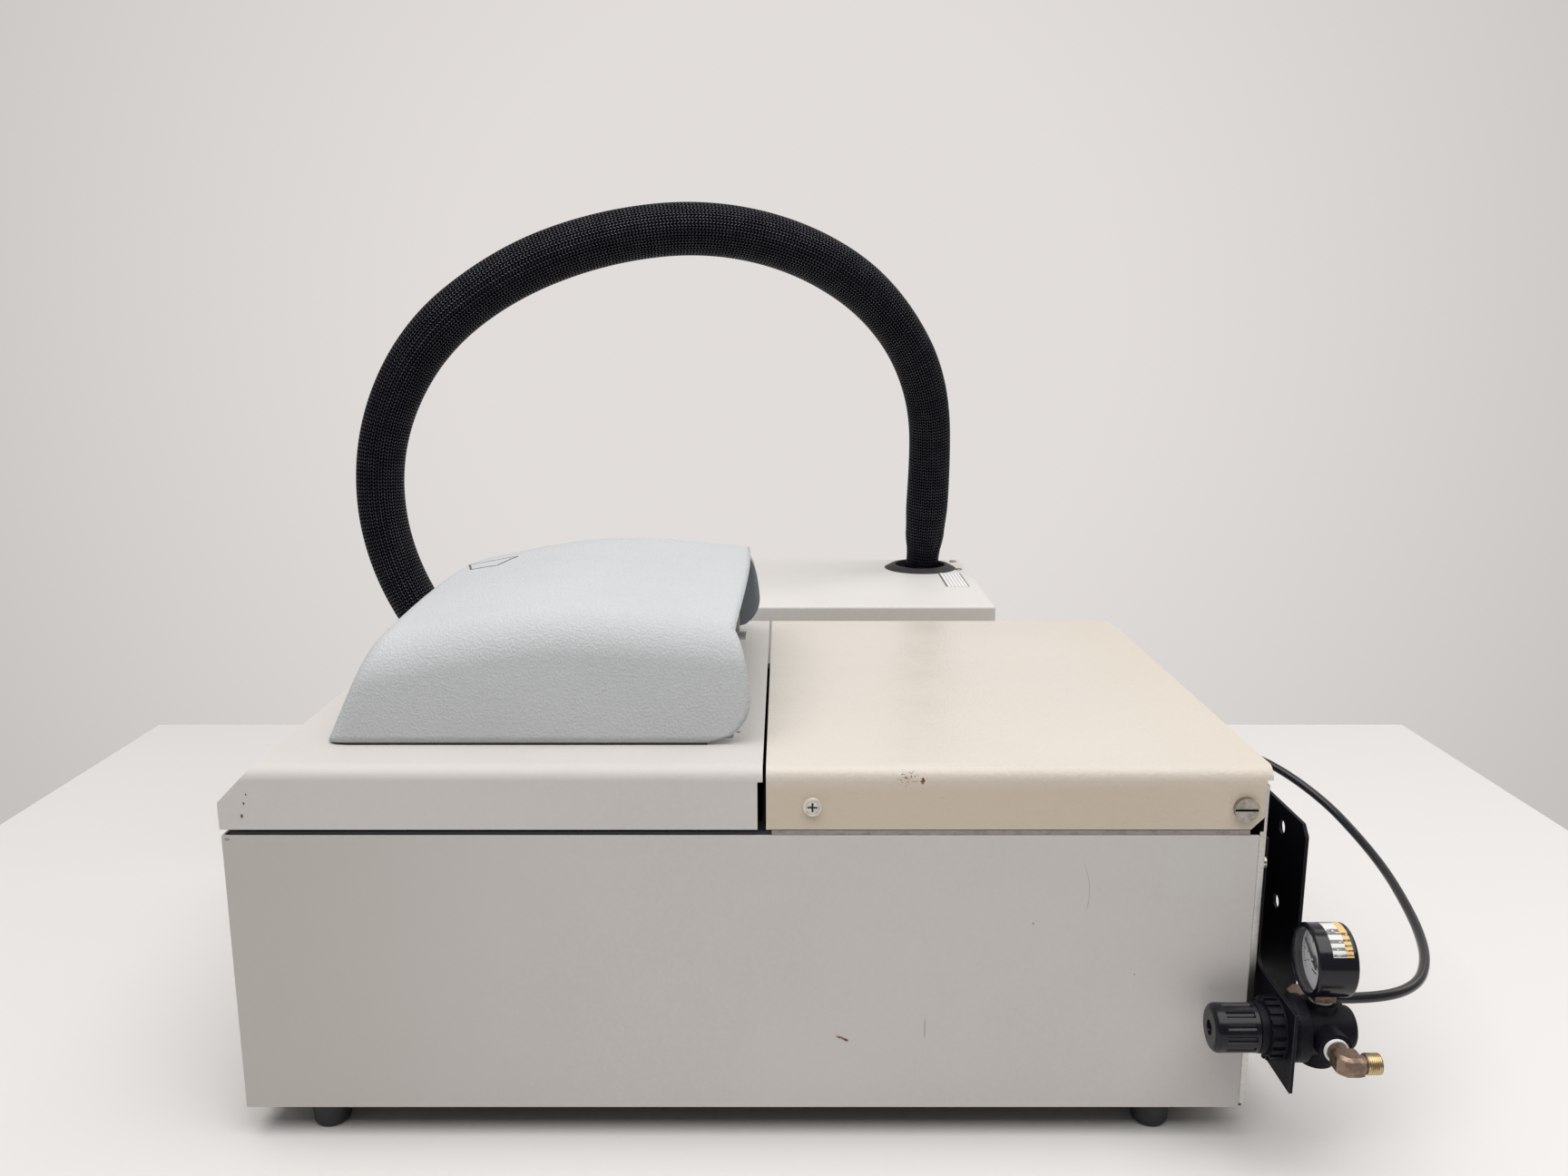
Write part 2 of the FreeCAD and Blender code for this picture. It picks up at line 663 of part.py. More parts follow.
def fan_rotor():
    return fan_rotor_at(REAR_PANEL_X - FAN_DEPTH, REAR_PANEL_X, FAN_Y, FAN_Z, FAN_SIZE)


def fan_guard():
    """Wire finger guard over the fan's outlet."""
    wire = 1.1
    half_bar = 46.0
    bar_x = REAR_PANEL_BACK + wire
    pieces = []
    for angle in (45, 135):
        bar = rod("z", (bar_x, FAN_Y, 0), wire, FAN_Z - half_bar, FAN_Z + half_bar)
        bar.rotate(V(bar_x, FAN_Y, FAN_Z), X_AXIS, angle)
        pieces.append(bar)
    guard = fuse(pieces)
    for radius in (10.0, 19.0, 28.0, 37.0):
        coil = Part.makeTorus(radius, wire, V(bar_x + wire * 1.5, FAN_Y, FAN_Z), X_AXIS)
        guard = guard.fuse(coil)
    return guard


def mains_inlet():
    y = INLET_SOCKET_Y
    z = INLET_SOCKET_Z
    body = box(530, REAR_PANEL_BACK, y - 13.8, y + 13.8, z - 9.8, z + 9.8)
    flange = box(REAR_PANEL_BACK, REAR_PANEL_BACK + 2.5, y - 24, y + 24, z - 14, z + 14)
    well = box(538, 570, y - 11.5, y + 11.5, z - 7.5, z + 7.5)
    pieces = [fuse([body, flange]).cut(well)]
    for step in (-7, 0, 7):
        pieces.append(box(537.9, 552, y + step - 1, y + step + 1, z - 2.5, z + 2.5))
    return fuse(pieces)


def rocker(x, y, z):
    """Rocker switch button on its pivot, resting in the off position."""
    half_height = 9.0
    half_width = 5.5
    face = 3.0
    low_y = y - half_width
    cap = prism([(x - 8, low_y, z - half_height), (x + face, low_y, z - half_height),
                 (x + face - 1.6, low_y, z), (x + face, low_y, z + half_height),
                 (x - 8, low_y, z + half_height)], Y_AXIS, half_width * 2)
    cap.rotate(V(x - 4, y, z), Y_AXIS, ROCKER_TILT)
    pivot = (x - 4, y, z)
    return cap.cut(rod("y", pivot, 1.5 + RUNNING_GAP, y - 7, y + 7))


def switch_frame(x, y, z):
    """Snap-in switch housing with the pin that its rocker turns on."""
    flange = box(x, x + 2, y - 13, y + 13, z - 17, z + 17)
    body = box(x - 18, x, y - 10.9, y + 10.9, z - 14.9, z + 14.9)
    well = box(x - 15.5, x + 5, y - 6, y + 6, z - 12, z + 12)
    pin = rod("y", (x - 4, y, z), 1.5, y - 7, y + 7)
    return fuse([fuse([flange, body]).cut(well), pin])


def power_switch_frame():
    return switch_frame(REAR_PANEL_BACK, SWITCH_Y, SWITCH_Z)


def power_switch():
    return rocker(REAR_PANEL_BACK, SWITCH_Y, SWITCH_Z)


# ---- purge-gas regulator ------------------------------------------------------------
def regulator_bracket():
    """Black folded channel: the inner plate carries the regulator, the outer one
    has two holes that give access to the bolts into the rear panel."""
    outline = [(BRACKET_NEAR, BRACKET_BOTTOM), (BRACKET_FAR, BRACKET_BOTTOM),
               (BRACKET_FAR, BRACKET_TOP), (BRACKET_STEM, BRACKET_TOP),
               (BRACKET_STEM, BRACKET_STEP), (BRACKET_NEAR, BRACKET_STEP)]
    inner = prism([(BRACKET_X, y, z) for (y, z) in outline], X_AXIS, BRACKET_SHEET)
    notch = [edge for edge in inner.Edges
             if abs(edge.CenterOfMass.y - BRACKET_STEM) < 0.1
             and abs(edge.CenterOfMass.z - BRACKET_STEP) < 0.1]
    inner = inner.makeFillet(9.0, notch)
    outer_back = BRACKET_OUTER_X + BRACKET_SHEET
    web = box(BRACKET_X, outer_back, BRACKET_FAR - BRACKET_SHEET, BRACKET_FAR,
              BRACKET_BOTTOM, BRACKET_TOP)
    chamfer = 6.0
    outline = [(BRACKET_INSIDE, BRACKET_BOTTOM), (BRACKET_FAR, BRACKET_BOTTOM),
               (BRACKET_FAR, BRACKET_TOP), (BRACKET_INSIDE + chamfer, BRACKET_TOP),
               (BRACKET_INSIDE, BRACKET_TOP - chamfer)]
    outer = prism([(BRACKET_OUTER_X, y, z) for (y, z) in outline], X_AXIS, BRACKET_SHEET)
    bracket = fuse([inner, web, outer])
    inner_hole = (BRACKET_X - 1, BRACKET_X + BRACKET_SHEET + 1)
    outer_hole = (BRACKET_OUTER_X - 1, outer_back + 1)
    holes = [rod("x", (0, REG_Y, REG_Z), BONNET_RADIUS + 0.15, *inner_hole)]
    for z in ACCESS_Z:
        holes.append(rod("x", (0, ACCESS_Y, z), ACCESS_HOLE_RADIUS, *outer_hole))
        holes.append(rod("x", (0, ACCESS_Y, z), SHANK_RADIUS + 0.2, *inner_hole))
    return bracket.cut(holes)


def bracket_bolts():
    """Two pan-head bolts, each with the spacer that stands the bracket off."""
    bolts = []
    for z in ACCESS_Z:
        centre = (0, ACCESS_Y, z)
        head_start = BRACKET_X + BRACKET_SHEET
        bolt = fuse([rod("x", centre, 3.8, head_start, head_start + 3),
                     rod("x", centre, SHANK_RADIUS - 0.05, REAR_PANEL_X - 8, head_start)])
        bolts.append(bolt.cut(hexagon("x", centre, 2.5, head_start + 1.2, head_start + 4)))
        bolts.append(ring("x", centre, 5.0, SHANK_RADIUS + 0.1, REAR_PANEL_BACK, BRACKET_X))
    return group(bolts)


def regulator_body():
    axis = (0, REG_Y, REG_Z)
    top_port = (PORT_X, REG_Y, 0)
    core = rod("x", axis, BODY_RADIUS, BODY_START, 592)
    nose = rod("x", axis, BODY_RADIUS - 2.5, 592, BODY_END)
    nose_rim = [edge for edge in nose.Edges if edge.Closed and edge.CenterOfMass.x > BODY_END - 1]
    nose = nose.makeFillet(3.0, nose_rim)
    side = (PORT_X, 0, REG_Z)
    ports = [rod("z", top_port, PORT_RADIUS, REG_Z, REG_Z + PORT_REACH + 1),
             rod("z", top_port, PORT_RADIUS, REG_Z - 19, REG_Z),
             rod("y", side, PORT_RADIUS, REG_Y - NEAR_PORT, REG_Y + FAR_PORT)]
    body = fuse([core, nose] + ports)
    bores = [rod("z", top_port, 5.25, REG_Z + 9, REG_Z + 20),
             rod("y", side, THREAD_RADIUS + 0.05, REG_Y - 25, REG_Y - 12),
             rod("y", side, THREAD_RADIUS + 0.05, REG_Y + 12, REG_Y + 25)]
    return body.cut(bores)


def regulator_bonnet():
    axis = (0, REG_Y, REG_Z)
    dome_start = BRACKET_X + BRACKET_SHEET + 0.1
    dome_length = 4.0
    sleeve = rod("x", axis, BONNET_RADIUS, BONNET_START, dome_start + 1)
    dome = Part.makeCone(COLLAR_RADIUS - 2.5, COLLAR_RADIUS, dome_length, V(dome_start, REG_Y, REG_Z), X_AXIS)
    collar = rod("x", axis, COLLAR_RADIUS, dome_start + dome_length, BODY_START)
    bonnet = fuse([sleeve, dome, collar])
    chamber = rod("x", axis, CHAMBER_RADIUS, BONNET_START + 3, BODY_START + 1)
    neck = rod("x", axis, SPINDLE_RADIUS + RUNNING_GAP, BONNET_START - 5, BONNET_START + 4)
    return bonnet.cut([chamber, neck])


def panel_nut():
    axis = (0, REG_Y, REG_Z)
    start = 551.2
    end = BRACKET_X
    nut = ring("x", axis, NUT_RADIUS, BONNET_RADIUS + 0.05, start, end)
    notches = []
    for step in range(18):
        notch = box(start - 1, end - 1.6, REG_Y - 1.3, REG_Y + 1.3,
                    REG_Z + NUT_RADIUS - 1.6, REG_Z + NUT_RADIUS + 2)
        notch.rotate(V(0, REG_Y, REG_Z), X_AXIS, 20.0 * step)
        notches.append(notch)
    return nut.cut(notches)


def adjusting_knob():
    """Fluted knob with its spindle into the bonnet."""
    axis = (0, REG_Y, REG_Z)
    body = rod("x", axis, KNOB_RADIUS, KNOB_FRONT, KNOB_BACK)
    rim = [edge for edge in body.Edges if edge.Closed and edge.CenterOfMass.x < KNOB_FRONT + 1]
    body = body.makeFillet(3.5, rim)
    cuts = [rod("x", axis, 4.0, KNOB_FRONT - 1, KNOB_FRONT + 1.5)]
    flute_radius = 2.4
    for step in range(12):
        flute = rod("x", (0, REG_Y, REG_Z + KNOB_RADIUS + 1.4), flute_radius,
                    KNOB_FRONT + 6, KNOB_BACK - 2)
        flute.rotate(V(0, REG_Y, REG_Z), X_AXIS, 30.0 * step)
        cuts.append(flute)
    spindle = rod("x", axis, SPINDLE_RADIUS, KNOB_BACK - 1, 562.0)
    return fuse([body.cut(cuts), spindle])


def spring_seat():
    axis = (0, REG_Y, REG_Z)
    bore = SPINDLE_RADIUS + RUNNING_GAP
    outer = CHAMBER_RADIUS - 0.5
    return ring("x", axis, outer, bore, SEAT_START, SEAT_START + SEAT_THICKNESS)


def regulator_spring():
    """Range spring between the seat and the diaphragm, as a stack of touching coils."""
    wire = 1.5
    start = SEAT_START + SEAT_THICKNESS
    count = 5
    pitch = (SPRING_END - start - 2 * wire) / (count - 1)
    coils = []
    for step in range(count):
        x = start + wire + step * pitch
        coils.append(Part.makeTorus(7.0, wire, V(x, REG_Y, REG_Z), X_AXIS))
    return group(coils)


def gauge_case():
    axis = (0, REG_Y, GAUGE_Z)
    case = rod("x", axis, GAUGE_RADIUS, GAUGE_FACE, GAUGE_BACK)
    rims = [edge for edge in case.Edges if edge.Closed]
    case = case.makeFillet(1.6, rims)
    return case.cut(rod("x", axis, DIAL_RADIUS, GAUGE_FACE - 1, GAUGE_FACE + 6.5))


def gauge_dial():
    axis = (0, REG_Y, GAUGE_Z)
    disc = rod("x", axis, DIAL_RADIUS - 0.1, GAUGE_FACE + 5.5, GAUGE_FACE + 6.5)
    pin = rod("x", axis, 0.55, GAUGE_FACE + 3.6, GAUGE_FACE + 6)
    return fuse([disc, pin])


def gauge_needle():
    """Pointer with a counterweight tail, at rest pointing up and to the left."""
    x0 = GAUGE_FACE + 4.0
    x1 = GAUGE_FACE + 4.6
    tip = 13.0
    tail = 5.5
    blade = prism([(x0, REG_Y - 1.5, GAUGE_Z - tail), (x0, REG_Y + 1.5, GAUGE_Z - tail),
                   (x0, REG_Y + 0.3, GAUGE_Z + tip), (x0, REG_Y - 0.3, GAUGE_Z + tip)],
                  X_AXIS, x1 - x0)
    hub = rod("x", (0, REG_Y, GAUGE_Z), 2.0, x0, x1 + 0.6)
    needle = fuse([blade, hub]).cut(rod("x", (0, REG_Y, GAUGE_Z), 0.6, x0 - 1, x1 + 2))
    needle.rotate(V(0, REG_Y, GAUGE_Z), X_AXIS, -60)
    return needle


def gauge_lens():
    axis = (0, REG_Y, GAUGE_Z)
    return rod("x", axis, DIAL_RADIUS - 0.1, GAUGE_FACE + 1.2, GAUGE_FACE + 2.6)


def gauge_stem():
    centre = (PORT_X, REG_Y, 0)
    half = 5.5
    flats = box(PORT_X - half, PORT_X + half, REG_Y - half, REG_Y + half,
                REG_Z + PORT_REACH + 2.2, GAUGE_Z - GAUGE_RADIUS + 1)
    neck = rod("z", centre, 5.2, REG_Z + 10, GAUGE_Z - GAUGE_RADIUS + 4)
    stem = fuse([neck, flats])
    return stem.cut(rod("x", (0, REG_Y, GAUGE_Z), GAUGE_RADIUS, GAUGE_FACE - 1, GAUGE_BACK + 1))


def thread_tape():
    """White sealing tape showing at the ports' mouths."""
    top = REG_Z + PORT_REACH + 1
    near = REG_Y - NEAR_PORT
    far = REG_Y + FAR_PORT
    side = (PORT_X, 0, REG_Z)
    return group([ring("z", (PORT_X, REG_Y, 0), 6.2, 5.25, top, top + 1.1),
                  ring("y", side, 6.3, THREAD_RADIUS + 0.05, near - 1.8, near),
                  ring("y", side, 6.3, THREAD_RADIUS + 0.05, far, far + 1.5)])


def inlet_elbow():
    """Brass elbow from the near port, ending in a male pipe thread."""
    half = INLET_KNEE
    inner = INLET_Y + half + 1.5
    outline = [(PORT_X - half, inner), (PORT_X + half, inner), (PORT_X + half + 2, inner - 1.5),
               (PORT_X + half + 2, INLET_Y - half), (PORT_X - 1, INLET_Y - half),
               (PORT_X - half, INLET_Y - 1)]
    knee = prism([(x, y, REG_Z - half) for (x, y) in outline], Z_AXIS, half * 2)
    lengthwise = [edge for edge in knee.Edges if abs(edge.CenterOfMass.z - REG_Z) > half - 0.1]
    knee = knee.makeChamfer(1.6, lengthwise)
    port = rod("y", (PORT_X, 0, REG_Z), THREAD_RADIUS, INLET_Y, REG_Y - 13)
    centre = (0, INLET_Y, REG_Z)
    neck = rod("x", centre, THREAD_RADIUS - 0.7, PORT_X + half, THREAD_START + 0.5)
    thread = rod("x", centre, THREAD_RADIUS, THREAD_START, THREAD_END)
    bore = rod("x", centre, 2.4, PORT_X + 4, THREAD_END + 1)
    return fuse([port, knee, neck, thread]).cut(bore)


def outlet_elbow():
    """Brass elbow from the far port to the push-in end of the air tube."""
    half = 5.5
    port = rod("y", (PORT_X, 0, REG_Z), THREAD_RADIUS, REG_Y + 13, OUTLET_Y)
    inner = OUTLET_Y - half - 2.5
    outline = [(PORT_X - half, inner), (PORT_X + half, inner), (PORT_X + half + 2, inner + 2.5),
               (PORT_X + half + 2, OUTLET_Y + half), (PORT_X, OUTLET_Y + half),
               (PORT_X - half, OUTLET_Y)]
    knee = prism([(x, y, REG_Z - half) for (x, y) in outline], Z_AXIS, half * 2)
    collet = rod("x", (0, OUTLET_Y, REG_Z), 5.0, PORT_X + half, OUTLET_END)
    return fuse([port, knee, collet])


def air_tube():
    return swept_tube(TUBE_ROUTE, TUBE_DIAMETER / 2, "air_tube")


def tube_fitting():
    centre = (0, TUBE_FITTING_Y, TUBE_FITTING_Z)
    return fuse([rod("x", centre, 4.95, 540, 566),
                 hexagon("x", centre, 14.0, REAR_PANEL_BACK, REAR_PANEL_BACK + 5),
                 hexagon("x", centre, 14.0, REAR_PANEL_X - 5, REAR_PANEL_X),
                 rod("x", centre, 6.0, 563, TUBE_FITTING_END)])


# ---- cooling unit -------------------------------------------------------------------
def cooler_base():
    (x0, x1) = COOLER_X
    (y0, y1) = COOLER_Y
    return box(x0 + SHEET, x1 - SHEET, y0 + SHEET, y1 - SHEET, COOLER_BASE_Z, COOLER_BASE_Z + SHEET)


def cooler_cover():
    (x0, x1) = COOLER_X
    (y0, y1) = COOLER_Y
    outer = box(x0, x1, y0, y1, COOLER_BASE_Z, COOLER_TOP)
    edges = []
    for edge in outer.Edges:
        if edge.CenterOfMass.z > COOLER_BASE_Z + 1:
            edges.append(edge)
    outer = outer.makeFillet(2.5, edges)
    inner = box(x0 + SHEET, x1 - SHEET, y0 + SHEET, y1 - SHEET, COOLER_BASE_Z - 5, COOLER_TOP - SHEET)
    socket_hole = rod("z", (RING_X, RING_Y, 0), RING_INNER + 2.6, COOLER_TOP - 10, COOLER_TOP + 1)
    cuts = [inner, socket_hole]
    for row in range(11):
        z = 52.0 + row * 10
        cuts.append(box(x1 - 5, x1 + 5, 430, 530, z, z + 4))
        cuts.append(box(x0 - 5, x0 + 5, 430, 530, z, z + 4))
    cuts.append(box(x1 - 5, x1 + 5, COOLER_SWITCH_Y - 11, COOLER_SWITCH_Y + 11,
                    COOLER_SWITCH_Z - 15, COOLER_SWITCH_Z + 15))
    return outer.cut(cuts)


def cooler_feet():
    feet = []
    for x in (COOLER_X[0] + 25, COOLER_X[1] - 25):
        for y in (COOLER_Y[0] + 22, COOLER_Y[1] - 22):
            feet.append(foot(x, y, 12.0, COOLER_BASE_Z))
    return group(feet)


def hose_ring():
    """Dished black grommet with the socket below it that the hose ends in."""
    centre = (RING_X, RING_Y, 0)
    socket = RING_INNER + 2.5
    dish = Part.makeCone(RING_OUTER, RING_INNER + 3.5, 3.5, V(RING_X, RING_Y, COOLER_TOP), Z_AXIS)
    cup = rod("z", centre, socket, SOCKET_FLOOR - 3, COOLER_TOP + 1)
    inside = rod("z", centre, RING_INNER, SOCKET_FLOOR, COOLER_TOP + 10)
    return fuse([dish, cup]).cut(inside)


def cooler_compressor():
    centre = (215.0, 482.0, 0)
    shell = rod("z", centre, 58.0, COOLER_BASE_Z + SHEET, 150)
    rim = [edge for edge in shell.Edges if edge.Closed and edge.CenterOfMass.z > 149]
    return shell.makeFillet(24.0, rim)


def cooler_condenser():
    core = box(388, 422, 420, 540, 30, 178)
    slots = []
    for row in range(14):
        z = 36.0 + row * 10
        slots.append(box(380, 404, 426, 534, z, z + 5))
    return core.cut(slots)


def cooler_fan_frame():
    return fan_frame_at(*COOLER_FAN_X, COOLER_FAN_Y, COOLER_FAN_Z, COOLER_FAN_SIZE)


def cooler_fan_rotor():
    return fan_rotor_at(*COOLER_FAN_X, COOLER_FAN_Y, COOLER_FAN_Z, COOLER_FAN_SIZE)


def cooler_switch_frame():
    return switch_frame(COOLER_X[1], COOLER_SWITCH_Y, COOLER_SWITCH_Z)


def cooler_switch():
    return rocker(COOLER_X[1], COOLER_SWITCH_Y, COOLER_SWITCH_Z)


NODES = [
    chassis_base, side_panel_near, side_panel_far, front_panel, inner_bulkhead, rear_panel,
    deck_cover, rear_top_cover, cover_screws, cover_thumb_screws, rear_panel_screws, rubber_feet,
    hood_shell, hood_gasket, hood_hinge_brackets, hood_hinge_rod,
    cell_flange, cell_insulation, furnace_block, sample_pans, cell_cover,
    heat_exchanger, hose_elbow, cooling_hose,
    circuit_board, power_supply, fan_frame, fan_rotor, fan_guard, mains_inlet,
    power_switch_frame, power_switch,
    regulator_bracket, bracket_bolts, regulator_body, regulator_bonnet, panel_nut,
    adjusting_knob, spring_seat, regulator_spring, gauge_case, gauge_dial, gauge_needle,
    gauge_lens, gauge_stem, thread_tape, inlet_elbow, outlet_elbow, air_tube, tube_fitting,
    cooler_base, cooler_cover, cooler_feet, hose_ring, cooler_compressor, cooler_condenser,
    cooler_fan_frame, cooler_fan_rotor, cooler_switch_frame, cooler_switch,
]
CORDS = ("cooling_hose", "air_tube")


def build_all():
    shapes = {}
    for maker in NODES:
        shapes[maker.__name__] = maker()
    return shapes


def origin_of(shapes):
    """Middle of the base of everything but the free hose and tube."""
    bounds = FreeCAD.BoundBox()
    for name, shape in shapes.items():
        if name not in CORDS:
            bounds.add(shape.optimalBoundingBox(False))
    return V((bounds.XMin + bounds.XMax) / 2, (bounds.YMin + bounds.YMax) / 2, bounds.ZMin)


if __name__ == "__main__":
    os.makedirs("parts", exist_ok=True)
    shapes = build_all()
    origin = origin_of(shapes)
    print("origin", origin, "nodes", len(shapes))
    for name, shape in shapes.items():
        bad = [s for s in shape.Solids if not s.isValid() or not s.isClosed()]
        if bad or not shape.Solids:
            print("CHECK", name, len(shape.Solids), "solids", len(bad), "bad")
        placed = shape.copy()
        placed.translate(origin * -1)
        placed.exportStep("parts/" + name + ".step")
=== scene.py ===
import bpy
import bmesh
import math
import numpy as np
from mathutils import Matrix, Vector


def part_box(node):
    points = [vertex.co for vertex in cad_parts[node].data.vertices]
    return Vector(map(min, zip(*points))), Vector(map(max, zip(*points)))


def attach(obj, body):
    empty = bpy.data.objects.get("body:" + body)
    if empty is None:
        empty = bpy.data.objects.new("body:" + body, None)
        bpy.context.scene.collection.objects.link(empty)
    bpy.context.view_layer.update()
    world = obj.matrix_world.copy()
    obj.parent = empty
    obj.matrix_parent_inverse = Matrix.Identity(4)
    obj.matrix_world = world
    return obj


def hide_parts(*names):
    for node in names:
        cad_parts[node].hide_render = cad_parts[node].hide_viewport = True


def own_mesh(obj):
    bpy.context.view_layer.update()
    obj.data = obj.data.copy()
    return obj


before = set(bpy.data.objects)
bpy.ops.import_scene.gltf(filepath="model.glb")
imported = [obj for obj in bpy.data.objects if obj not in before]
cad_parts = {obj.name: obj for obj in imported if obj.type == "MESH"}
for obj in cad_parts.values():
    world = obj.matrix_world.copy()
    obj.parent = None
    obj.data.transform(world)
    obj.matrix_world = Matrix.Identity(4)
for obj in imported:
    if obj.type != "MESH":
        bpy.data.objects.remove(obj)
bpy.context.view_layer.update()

# Places are given in millimetres in the instrument's own frame: x from the hood end to the
# rear panel, y from the near side panel to the far one, z up from the bench.
MM = 0.001
PANEL_LOW = 18.0
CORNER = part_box("side_panel_near")[0] - Vector((0, 0, PANEL_LOW)) * MM


def at(x, y, z):
    return Vector((x, y, z)) * MM + CORNER


def low(node):
    """A CAD node's lowest corner, in millimetres in the instrument's frame."""
    return (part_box(node)[0] - CORNER) / MM


def high(node):
    return (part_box(node)[1] - CORNER) / MM


# ---- camera, floor and light ---------------------------------------------------------
EYE = (298.05, -628.04, 439.9)
PITCH_DOWN = 0.2011
LENS = 28.96


def make_camera():
    data = bpy.data.cameras.new("camera")
    data.lens = LENS
    data.sensor_width = 36.0
    data.clip_start = 0.01
    camera = bpy.data.objects.new("camera", data)
    bpy.context.scene.collection.objects.link(camera)
    camera.location = at(*EYE)
    camera.rotation_euler = (math.pi / 2 - PITCH_DOWN, 0, 0)
    bpy.context.scene.camera = camera


def area_light(name, place, aim, size, power, colour):
    data = bpy.data.lights.new(name, "AREA")
    data.shape = "RECTANGLE"
    data.size = size[0]
    data.size_y = size[1]
    data.energy = power
    data.color = colour
    light = bpy.data.objects.new(name, data)
    light.location = place
    light.rotation_euler = (Vector(aim) - Vector(place)).to_track_quat("-Z", "Y").to_euler()
    bpy.context.scene.collection.objects.link(light)


def make_lights():
    area_light("ceiling", (0.0, -0.82, 2.2), (0, -0.2, 0), (3.0, 2.2), 61, (1.0, 0.985, 0.965))
    area_light("side_fill", (1.7, 0.7, 1.6), (0, 0.1, 0.1), (1.4, 1.4), 8, (1.0, 0.985, 0.97))
    world = bpy.data.worlds.new("room")
    world.use_nodes = True
    nodes, links = world.node_tree.nodes, world.node_tree.links
    parts = nodes.new("ShaderNodeSeparateXYZ")
    links.new(nodes.new("ShaderNodeTexCoord").outputs["Generated"], parts.inputs[0])
    turn = nodes.new("ShaderNodeMapRange")
    turn.inputs["From Min"].default_value = -1.0
    links.new(parts.outputs["Y"], turn.inputs["Value"])
    ramp = nodes.new("ShaderNodeValToRGB")
    links.new(turn.outputs["Result"], ramp.inputs["Fac"])
    # brightness of the room from behind the camera (0) to behind the object (1)
    shades = ((0.0, 0.16), (0.5, 0.34), (0.90, 0.56), (0.985, 0.755))
    while len(ramp.color_ramp.elements) < len(shades):
        ramp.color_ramp.elements.new(0.5)
    for element, (position, level) in zip(ramp.color_ramp.elements, shades):
        element.position = position
        element.color = (level, level * 0.955, level * 0.93, 1)
    links.new(ramp.outputs["Color"], nodes["Background"].inputs["Color"])
    bpy.context.scene.world = world
    bpy.context.scene.view_settings.view_transform = "Standard"


